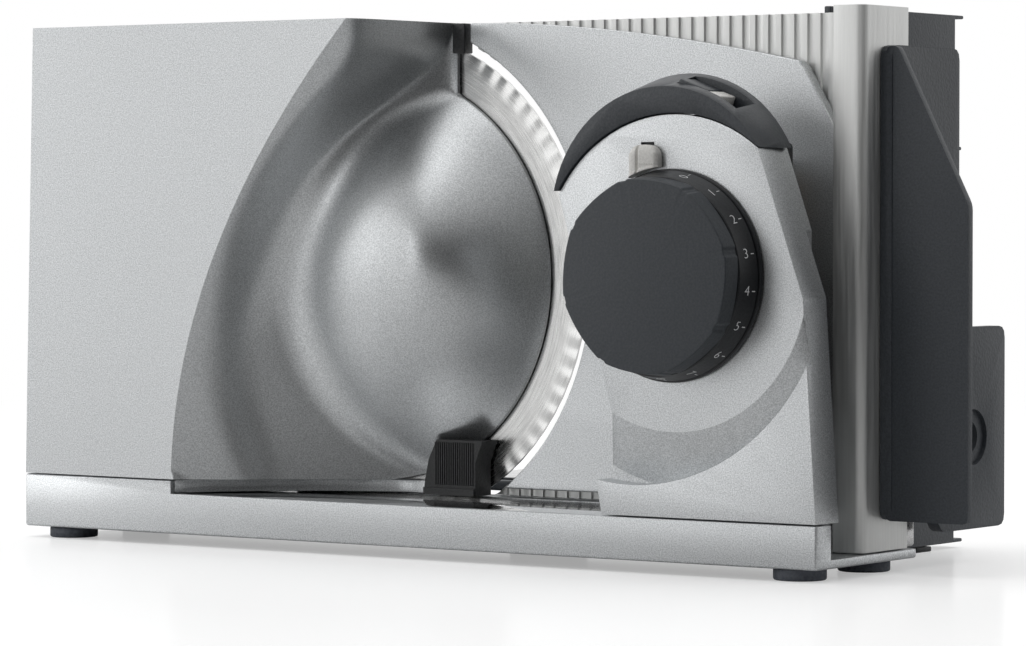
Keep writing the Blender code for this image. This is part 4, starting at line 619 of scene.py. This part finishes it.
ring_steel = metal("ring_steel", (0.62, 0.62, 0.615), (0.84, 0.84, 0.83), roughness=0.24,
                   depth=0.06, scale=1600)
tree = ring_steel.node_tree
turn = tree.nodes["Mapping"]
turn.inputs["Location"].default_value = (MIDDLE.x - AXIS_X, 0, -AXIS_Z)
split = tree.nodes.new("ShaderNodeSeparateXYZ")
angle = counting(tree, "ShaderNodeMath", "ARCTAN2")
flat = counting(tree, "ShaderNodeVectorMath", "MULTIPLY", IN_PLANE)
radius = tree.nodes.new("ShaderNodeVectorMath")
radius.operation = "LENGTH"
slow = counting(tree, "ShaderNodeMath", "MULTIPLY", STREAK_TURN)
around = tree.nodes.new("ShaderNodeCombineXYZ")
link = tree.links.new
link(turn.outputs["Vector"], split.inputs[0])
link(split.outputs["Z"], angle.inputs[0])
link(split.outputs["X"], angle.inputs[1])
link(turn.outputs["Vector"], flat.inputs[0])
link(flat.outputs["Vector"], radius.inputs[0])
link(angle.outputs[0], slow.inputs[0])
link(radius.outputs["Value"], around.inputs["X"])
link(slow.outputs[0], around.inputs["Y"])
link(around.outputs[0], tree.nodes["Noise Texture"].inputs["Vector"])

around_steps = TEETH * STEPS_PER_TOOTH
work = bmesh.new()
rings = []
for radius_out in BLADE_RINGS:
    ring = []
    for i in range(around_steps):
        angle_at = 2 * math.pi * i / around_steps
        wave = 0.5 + 0.5 * math.cos(angle_at * TEETH)
        ground = max(0.0, (radius_out - GROUND_FROM) / GROUND_WIDTH)
        radius_at = radius_out - WAVE_NOTCH * (1 - wave) * ground ** 2
        dip = WAVE_DEPTH * ground * (1 - wave) + WAVE_SLOPE * ground
        ring.append(work.verts.new((AXIS_X + radius_at * math.cos(angle_at), BLADE_FRONT + dip,
                                    AXIS_Z + radius_at * math.sin(angle_at))))
    rings.append(ring)
for source in (rings[-1], rings[0]):
    rings.append([work.verts.new((v.co.x, BLADE_BACK, v.co.z)) for v in source])
for first, second in zip(rings, rings[1:] + rings[:1]):
    band(work, first, second)
piece("round_blade", work, "blade_unit", ring_steel, "blade", slot="blade_steel", smooth=40)

# Blade drive and cover: turned steel axles, hub, screws and motor, and the cover on the food
# side, all in their plain shapes. A plastic knob locks the cover.
turned_steel = metal("turned_steel", (0.50, 0.50, 0.49), (0.68, 0.68, 0.67), roughness=0.3,
                     depth=0.04)
lock_plastic = grained("lock_plastic", (0.028, 0.031, 0.036), (0.045, 0.049, 0.055),
                       roughness=0.5, fineness=1500, depth=0.2)


def coated(finish, *nodes):
    """Give solids that keep their shape a finish."""
    for node in nodes:
        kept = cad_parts[node]
        kept.data.materials.clear()
        kept.data.materials.append(finish)


coated(turned_steel, "blade_cover", "blade_axle", "blade_hub", "blade_screw_1", "blade_screw_2",
       "blade_screw_3", "idler_pin", "rotor_shaft", "motor_can", "motor_mount")
dressed("cover_knob", "cover_lock", "lock_unit", lock_plastic, edge=0.0003)

# Scraper and slot guard: black moulded plastic at the blade's front. The scraper's near face is
# ribbed from top to bottom, its left edge leans, and it has a plain lip on the tray.
SCRAPER_LEFT = -0.0204
SCRAPER_RIGHT = 0.0044
SCRAPER_LOW = 0.0184
SCRAPER_TOP = 0.0374
SCRAPER_NEAR = 0.0443
SCRAPER_FAR = 0.0535
SCRAPER_LEAN = ((0.0004, 0.0232), (0.0020, 0.0305), (0.0054, SCRAPER_TOP))
SCRAPER_WAIST = 0.0030
SCRAPER_WAIST_TOP = 0.0300
LIP_INSET = 0.0002
LIP_HEIGHT = 0.0024
LIP_STANDS_OUT = 0.0008
LIP_LAPS = 0.0002
RIB_COUNT = 18
RIB_PITCH = 0.00092
RIB_SIZE = (0.00042, 0.0007, 0.0146)
RIBS_START = 0.0050
RIBS_BELOW_TOP = 0.0009
scraper_black = grained("scraper_black", (0.008, 0.009, 0.010), (0.020, 0.021, 0.023),
                        roughness=0.42, fineness=1400, depth=0.2)


def plain_mesh(carrier):
    """The finished shape of a helper object, which is then taken away."""
    bpy.context.view_layer.update()
    made = bpy.data.meshes.new_from_object(
        carrier.evaluated_get(bpy.context.evaluated_depsgraph_get()))
    bpy.data.objects.remove(carrier)
    return made


def row_of_bars(name, finish, *, count, pitch, size, start):
    """A row of bars along X, made by geometry nodes and turned into a plain mesh."""
    rule = bpy.data.node_groups.new(name, "GeometryNodeTree")
    sockets = {}
    for label, kind in (("Count", "NodeSocketInt"), ("Pitch", "NodeSocketVector"),
                        ("Size", "NodeSocketVector"), ("Start", "NodeSocketVector")):
        sockets[label] = rule.interface.new_socket(label, in_out="INPUT", socket_type=kind)
    rule.interface.new_socket("Mesh", in_out="OUTPUT", socket_type="NodeSocketGeometry")
    given = rule.nodes.new("NodeGroupInput")
    result = rule.nodes.new("NodeGroupOutput")
    line = rule.nodes.new("GeometryNodeMeshLine")
    bar = rule.nodes.new("GeometryNodeMeshCube")
    spread = rule.nodes.new("GeometryNodeInstanceOnPoints")
    real = rule.nodes.new("GeometryNodeRealizeInstances")
    paint = rule.nodes.new("GeometryNodeSetMaterial")
    paint.inputs["Material"].default_value = finish
    link = rule.links.new
    link(given.outputs["Count"], line.inputs["Count"])
    link(given.outputs["Pitch"], line.inputs["Offset"])
    link(given.outputs["Start"], line.inputs["Start Location"])
    link(given.outputs["Size"], bar.inputs["Size"])
    link(line.outputs["Mesh"], spread.inputs["Points"])
    link(bar.outputs["Mesh"], spread.inputs["Instance"])
    link(spread.outputs["Instances"], real.inputs["Geometry"])
    link(real.outputs["Geometry"], paint.inputs["Geometry"])
    link(paint.outputs["Geometry"], result.inputs["Mesh"])
    carrier = shown(name, bpy.data.meshes.new(name))
    grow = carrier.modifiers.new("bars", "NODES")
    grow.node_group = rule
    for label, value in (("Count", count), ("Pitch", (pitch, 0.0, 0.0)), ("Size", size),
                         ("Start", start)):
        grow[sockets[label].identifier] = value
    return plain_mesh(carrier)


def slab(work, outline, near, far):
    """A flat body from an outline in X and Z."""
    rings = [[work.verts.new((x, y, z)) for x, z in outline] for y in (near, far)]
    work.faces.new(rings[0])
    work.faces.new(list(reversed(rings[1])))
    band(work, rings[1], rings[0])


waist = SCRAPER_RIGHT - SCRAPER_WAIST
lip_left = SCRAPER_LEFT + LIP_INSET
lip_right = waist - LIP_INSET
lip_top = SCRAPER_LOW + LIP_HEIGHT
ribs_z = SCRAPER_TOP - RIBS_BELOW_TOP - RIB_SIZE[2] / 2
work = bmesh.new()
slab(work, [(SCRAPER_LEFT, SCRAPER_LOW), *((SCRAPER_LEFT + x, z) for x, z in SCRAPER_LEAN),
            (SCRAPER_RIGHT, SCRAPER_TOP), (waist, SCRAPER_WAIST_TOP), (waist, SCRAPER_LOW)],
     SCRAPER_NEAR, SCRAPER_FAR)
slab(work, [(lip_left, SCRAPER_LOW), (lip_left, lip_top), (lip_right, lip_top),
            (lip_right, SCRAPER_LOW)], SCRAPER_NEAR - LIP_STANDS_OUT, SCRAPER_NEAR + LIP_LAPS)
work.from_mesh(row_of_bars("scraper_ribs", scraper_black, count=RIB_COUNT, pitch=RIB_PITCH,
                           size=RIB_SIZE, start=(SCRAPER_LEFT + RIBS_START, SCRAPER_NEAR, ribs_z)))
piece("scraper", work, "base", scraper_black, "blade_scraper", slot="black_plastic")
dressed("top_guard", "slot_guard", "base", scraper_black, edge=0.0004)

# Guide panel: a sheet in silver paint beside the blade, which the food is pressed against. It is
# fixed to the front of the stop plate and moves with it.
dressed("panel", "guide_panel", "stop_unit", silver, edge=0.0006, segments=3, angle=30)

# Stop plate and leg: one aluminium extrusion, ribbed behind the panel and bent at the right
# end, satin anodised with faint lines along its length. It slides on two steel rods.
UPRIGHT = (1, 1, 0.03)
anodised = metal("anodised", (0.64, 0.645, 0.635), (0.74, 0.745, 0.735), roughness=0.48,
                 depth=0.02, stretch=UPRIGHT, scale=1100, metallic=0.85)
dressed("stop_wall", "stop_plate", "stop_unit", anodised, edge=0.00025, angle=30)
coated(anodised, "plate_bracket")
coated(turned_steel, "guide_rod_low", "guide_rod_high")

# Tower: the arched housing of the thickness control, in the same silver paint, scooped out
# under the dial, with a black box behind it.
dressed("tower", "knob_tower", "base", silver, edge=0.0004, segments=3, angle=14)
dressed("tower_box", "tower_back", "base", under_black, edge=0.0003)

# Switch hood: a black crescent clipped over the tower, with a press button and a pale slider
# in its well.
hood_plastic = grained("hood_plastic", (0.022, 0.027, 0.034), (0.036, 0.042, 0.050),
                       roughness=0.42, fineness=1500, depth=0.15)
cream = grained("cream_plastic", (0.70, 0.69, 0.66), (0.80, 0.79, 0.76), roughness=0.4,
                fineness=1500, depth=0.1)
dressed("hood", "switch_hood", "base", hood_plastic, edge=0.0005, angle=30)
dressed("press_button", "switch_button", "button_unit", hood_plastic, edge=0.0002)
dressed("pale_slider", "run_slider", "slider_unit", cream, edge=0.0003)

# Index tab: a pale sliding catch over the dial, which points at the number in use. It has an
# arched top, a groove left of the middle, and a thin lip with fine marks along its foot. A stem
# behind it goes through the tower's slot.
DIAL_X = 0.1110
DIAL_Z = 0.0955
TAB_LEFT = 0.0955
TAB_RIGHT = 0.1069
TAB_LOW = 0.1302
TAB_TOP = 0.1372
TAB_REACH = 0.0347
TAB_NEAR = -0.0035
TAB_FAR = -0.0003
TAB_THINNEST = 0.0004
TAB_SHOULDER = 0.35
TAB_ARCH_POWER = 3
TAB_GROOVE = 0.0992
TAB_GROOVE_DEPTH = 0.0009
TAB_GROOVE_HALF = 0.00035
TAB_ROUND = 0.0012
TAB_ROUND_POWER = 8
TAB_LIP = 0.0004
TAB_LIP_SHARE = 0.1
TAB_COLUMNS = 80
TAB_ROWS = 28
MARK_COUNT = 7
MARK_PITCH = 0.0009
MARK_SIZE = (0.00035, 0.0003, 0.0005)
MARKS_LEFT = 0.1003
MARKS_UP = 0.0008
STEM_LEFT = 0.0991
STEM_RIGHT = 0.1033
STEM_LOW = 0.1312
STEM_TOP = 0.1346
STEM_LAPS = 0.0002
STEM_BACK = 0.0050
work = bmesh.new()
near_grid = []
far_grid = []
for c in range(TAB_COLUMNS + 1):
    x = TAB_LEFT + (TAB_RIGHT - TAB_LEFT) * c / TAB_COLUMNS
    side = abs(2 * c / TAB_COLUMNS - 1)
    low = DIAL_Z + math.sqrt(TAB_REACH ** 2 - (x - DIAL_X) ** 2)
    arch = TAB_SHOULDER + (1 - TAB_SHOULDER) * (1 - side ** TAB_ARCH_POWER) ** 0.5
    top = TAB_LOW + (TAB_TOP - TAB_LOW) * arch
    dent = TAB_GROOVE_DEPTH * math.exp(-((x - TAB_GROOVE) / TAB_GROOVE_HALF) ** 2)
    near_grid.append([])
    far_grid.append([])
    for r in range(TAB_ROWS + 1):
        up = r / TAB_ROWS
        y = TAB_NEAR + dent + TAB_ROUND * max(side ** TAB_ROUND_POWER, up ** TAB_ROUND_POWER)
        y -= TAB_LIP * (up < TAB_LIP_SHARE)
        z = low + (top - low) * up
        near_grid[c].append(work.verts.new((x, min(y, TAB_FAR - TAB_THINNEST), z)))
        far_grid[c].append(work.verts.new((x, TAB_FAR, z)))
for c in range(TAB_COLUMNS):
    for r in range(TAB_ROWS):
        work.faces.new((near_grid[c][r], near_grid[c + 1][r], near_grid[c + 1][r + 1],
                        near_grid[c][r + 1]))
        work.faces.new((far_grid[c][r], far_grid[c][r + 1], far_grid[c + 1][r + 1],
                        far_grid[c + 1][r]))
    for r in (0, TAB_ROWS):
        work.faces.new((near_grid[c][r], near_grid[c + 1][r], far_grid[c + 1][r],
                        far_grid[c][r]))
for r in range(TAB_ROWS):
    for c in (0, TAB_COLUMNS):
        work.faces.new((near_grid[c][r], near_grid[c][r + 1], far_grid[c][r + 1],
                        far_grid[c][r]))
work.from_mesh(row_of_bars("tab_marks", cream, count=MARK_COUNT, pitch=MARK_PITCH,
                           size=MARK_SIZE, start=(MARKS_LEFT, TAB_NEAR, TAB_LOW + MARKS_UP)))
slab(work, [(STEM_LEFT, STEM_LOW), (STEM_RIGHT, STEM_LOW), (STEM_RIGHT, STEM_TOP),
            (STEM_LEFT, STEM_TOP)], TAB_FAR - STEM_LAPS, STEM_BACK)
piece("tab", work, "tab_unit", cream, "index_tab", slot="cream_plastic", smooth=40)

# Dial: the knob's skirt, a shallow cone in dark plastic that turns with the knob. It has a
# groove round its back rim, and its steel spindle goes through the tower.
DIAL_STEPS = 180
DIAL_HOLE = 0.0234
DIAL_NEAR = -0.0110
DIAL_FAR = -0.0004
CONE_NEAR = -0.0107
CONE_FAR = -0.0028
SKIRT_FRONT = 0.0318
SKIRT_REAR = 0.0334
GROOVE_FLOOR = SKIRT_REAR - 0.0006
DIAL_PROFILE = ((DIAL_NEAR, DIAL_HOLE), (DIAL_NEAR, SKIRT_FRONT - 0.0004),
                (CONE_NEAR, SKIRT_FRONT), (CONE_FAR, SKIRT_REAR), (-0.0026, GROOVE_FLOOR),
                (-0.0021, GROOVE_FLOOR), (-0.0019, 0.0339), (-0.0016, 0.0340),
                (-0.0006, 0.0340), (DIAL_FAR, 0.0338), (DIAL_FAR, DIAL_HOLE))
skirt_plastic = grained("skirt_plastic", (0.006, 0.007, 0.009), (0.012, 0.014, 0.017),
                        roughness=0.42, fineness=1500, depth=0.1)


def ring_about_dial(work, y, radii):
    """A closed ring of corners about the dial's axis, one for each radius."""
    ring = []
    for i, radius in enumerate(radii):
        angle = 2 * math.pi * i / len(radii)
        ring.append(work.verts.new((DIAL_X + radius * math.cos(angle), y,
                                    DIAL_Z + radius * math.sin(angle))))
    return ring


work = bmesh.new()
rings = [ring_about_dial(work, y, [radius] * DIAL_STEPS) for y, radius in DIAL_PROFILE]
for first, second in zip(rings, rings[1:] + rings[:1]):
    band(work, first, second)
piece("dial", work, "knob_unit", skirt_plastic, "dial_skirt", slot="charcoal_plastic")
coated(turned_steel, "knob_spindle")

# Knob: nearly round, with eight slight flats and a small notch between each two, moulded in
# grey-black plastic with a plain face. It is pressed on the spindle over the dial.
KNOB_STEPS = 720
KNOB_RINGS = ((-0.0113, 0.0004), (-0.0172, -0.0002), (-0.0175, -0.0005), (-0.0176, -0.0009))
SIDES = 8
CORNER = math.radians(14.5)
FLAT_OUT = 0.0308
CORNER_OUT = 0.0317
NOTCH_DEPTH = 0.0006
NOTCH_HALF = math.radians(2.4)
NOTCH_POWER = 4
knob_plastic = grained("knob_plastic", (0.031, 0.037, 0.044), (0.043, 0.049, 0.057),
                       roughness=0.55, fineness=1300, depth=0.15)


def knob_radius(angle, grow):
    """The knob's outline: flats, clipped corners and notches."""
    part = 2 * math.pi / SIDES
    from_corner = (angle - CORNER + part / 2) % part - part / 2
    from_flat = abs(from_corner) - part / 2
    flat_at = FLAT_OUT + (CORNER_OUT - FLAT_OUT) * (abs(from_flat) / (part / 2)) ** 2
    notch = NOTCH_DEPTH * math.exp(-(from_corner / NOTCH_HALF) ** NOTCH_POWER)
    return flat_at - notch + grow


work = bmesh.new()
rings = [ring_about_dial(work, y, [knob_radius(2 * math.pi * i / KNOB_STEPS, grow)
                                   for i in range(KNOB_STEPS)]) for y, grow in KNOB_RINGS]
for first, second in zip(rings, rings[1:]):
    band(work, first, second)
for ring in (rings[0], rings[-1]):
    centre = work.verts.new((DIAL_X, ring[0].co.y, DIAL_Z))
    for i in range(KNOB_STEPS):
        work.faces.new((ring[i], ring[(i + 1) % KNOB_STEPS], centre))
piece("knob", work, "knob_unit", knob_plastic, "thickness_knob", slot="charcoal_plastic",
      smooth=30)

# Numbers 0 to 15 and their ticks, printed in white round the dial's side. They stand a hair
# proud of it, so that they show as a printed layer.
NUMBER_COUNT = 16
FIRST_TURN = math.radians(74.5)
TURN_STEP = math.radians(20.6)
NUMBER_SIZE = 0.0046
NUMBER_OFFSET = -0.00008
NUMBER_HALF_THICK = 0.00005
NUMBER_SPACING = 0.9
NUMBER_OUT = 0.0018
TICK_SIZE = (0.0013, 0.0003, 0.0001)
TICK_OUT = 0.0046
PRINT_MIDDLE = -0.0090
PRINT_UNDER = 0.00003
PRINT_OVER = 0.00006
print_white = grained("print_white", (0.78, 0.79, 0.80), (0.86, 0.87, 0.88), roughness=0.5,
                      fineness=1200, depth=0.05)
numbers = bmesh.new()


def on_dial(mesh, middle):
    """Lay flat lettering round the dial: right is outwards, up is along the turn."""
    for vertex in mesh.vertices:
        y = PRINT_MIDDLE + vertex.co.x
        along_cone = (y - CONE_NEAR) / (CONE_FAR - CONE_NEAR)
        radius = SKIRT_FRONT + (SKIRT_REAR - SKIRT_FRONT) * along_cone
        radius += PRINT_UNDER + PRINT_OVER * (vertex.co.z > 0)
        angle = middle + vertex.co.y / radius
        vertex.co = (DIAL_X + radius * math.cos(angle), y, DIAL_Z + radius * math.sin(angle))
    numbers.from_mesh(mesh)


for value in range(NUMBER_COUNT):
    middle = FIRST_TURN - TURN_STEP * value
    words = bpy.data.curves.new("number", "FONT")
    words.body = str(value)
    words.size = NUMBER_SIZE
    words.align_x = "CENTER"
    words.align_y = "CENTER"
    words.offset = NUMBER_OFFSET
    words.extrude = NUMBER_HALF_THICK
    words.space_character = NUMBER_SPACING
    lettering = plain_mesh(shown("number", words))
    lettering.transform(Matrix.Translation((NUMBER_OUT, 0, 0)))
    on_dial(lettering, middle)
    tick = bpy.data.meshes.new("tick")
    small = bmesh.new()
    bmesh.ops.create_cube(small, size=1)
    bmesh.ops.scale(small, vec=TICK_SIZE, verts=small.verts)
    bmesh.ops.translate(small, vec=(TICK_OUT, 0, 0), verts=small.verts)
    small.to_mesh(tick)
    small.free()
    on_dial(tick, middle)
piece("dial_numbers", numbers, "knob_unit", print_white)

# Remnant holder: slate plastic, a flat plate with a slanted guard across its near edge and a
# dished thumb hole, parked on the stop plate's leg. Steel spikes on its back hold the food.
slate = grained("slate_plastic", (0.036, 0.042, 0.050), (0.050, 0.057, 0.067), roughness=0.5,
                fineness=1500, depth=0.2)
dressed("pusher", "remnant_holder", "holder_unit", slate, edge=0.0007, segments=3,
                angle=30)
coated(turned_steel, "spike_strip")

# Carriage on the food side: slate plastic floor and back wall on a steel rail, with a steel
# sheet let into the floor and two glides that touch the table.
floor_steel = metal("floor_steel", (0.55, 0.55, 0.55), (0.70, 0.70, 0.70), roughness=0.25,
                    depth=0.03, stretch=ALONG_X)
dressed("carriage_back", "carriage_wall", "carriage_unit", slate, edge=0.0004)
dressed("carriage_table", "carriage_floor", "carriage_unit", slate, edge=0.0004)
dressed("carriage_glide", "carriage_foot", "carriage_unit", under_black, edge=0.0002)
dressed("carriage_runner_bar", "carriage_runner", "carriage_unit", under_black,
                edge=0.0002)
dressed("carriage_stand", "carriage_skid", "carriage_unit", slate, edge=0.0003)
dressed("carriage_sheet", "floor_plate", "carriage_unit", floor_steel, edge=0.00015)
dressed("rail", "carriage_rail", "base", floor_steel, edge=0.0003)

# Inside: the pieces that drive the blade and the stop plate, out of sight under the lid. The
# gears and the nut are nylon, the pinion and the bushings bronze, and all keep plain shapes.
nylon = grained("nylon", (0.66, 0.64, 0.56), (0.76, 0.74, 0.66), roughness=0.5, fineness=700,
                depth=0.1)
bronze = metal("bronze", (0.42, 0.26, 0.11), (0.52, 0.34, 0.16), roughness=0.35, depth=0.03)
coated(nylon, "drive_gear", "idler_large_gear", "idler_small_gear", "spindle_nut")
coated(bronze, "motor_pinion", "rod_bushing_low", "rod_bushing_high")
coated(under_black, "motor_fan", "micro_switch", "housing_lid")
coated(turned_steel, "base_screw_left", "base_screw_right")
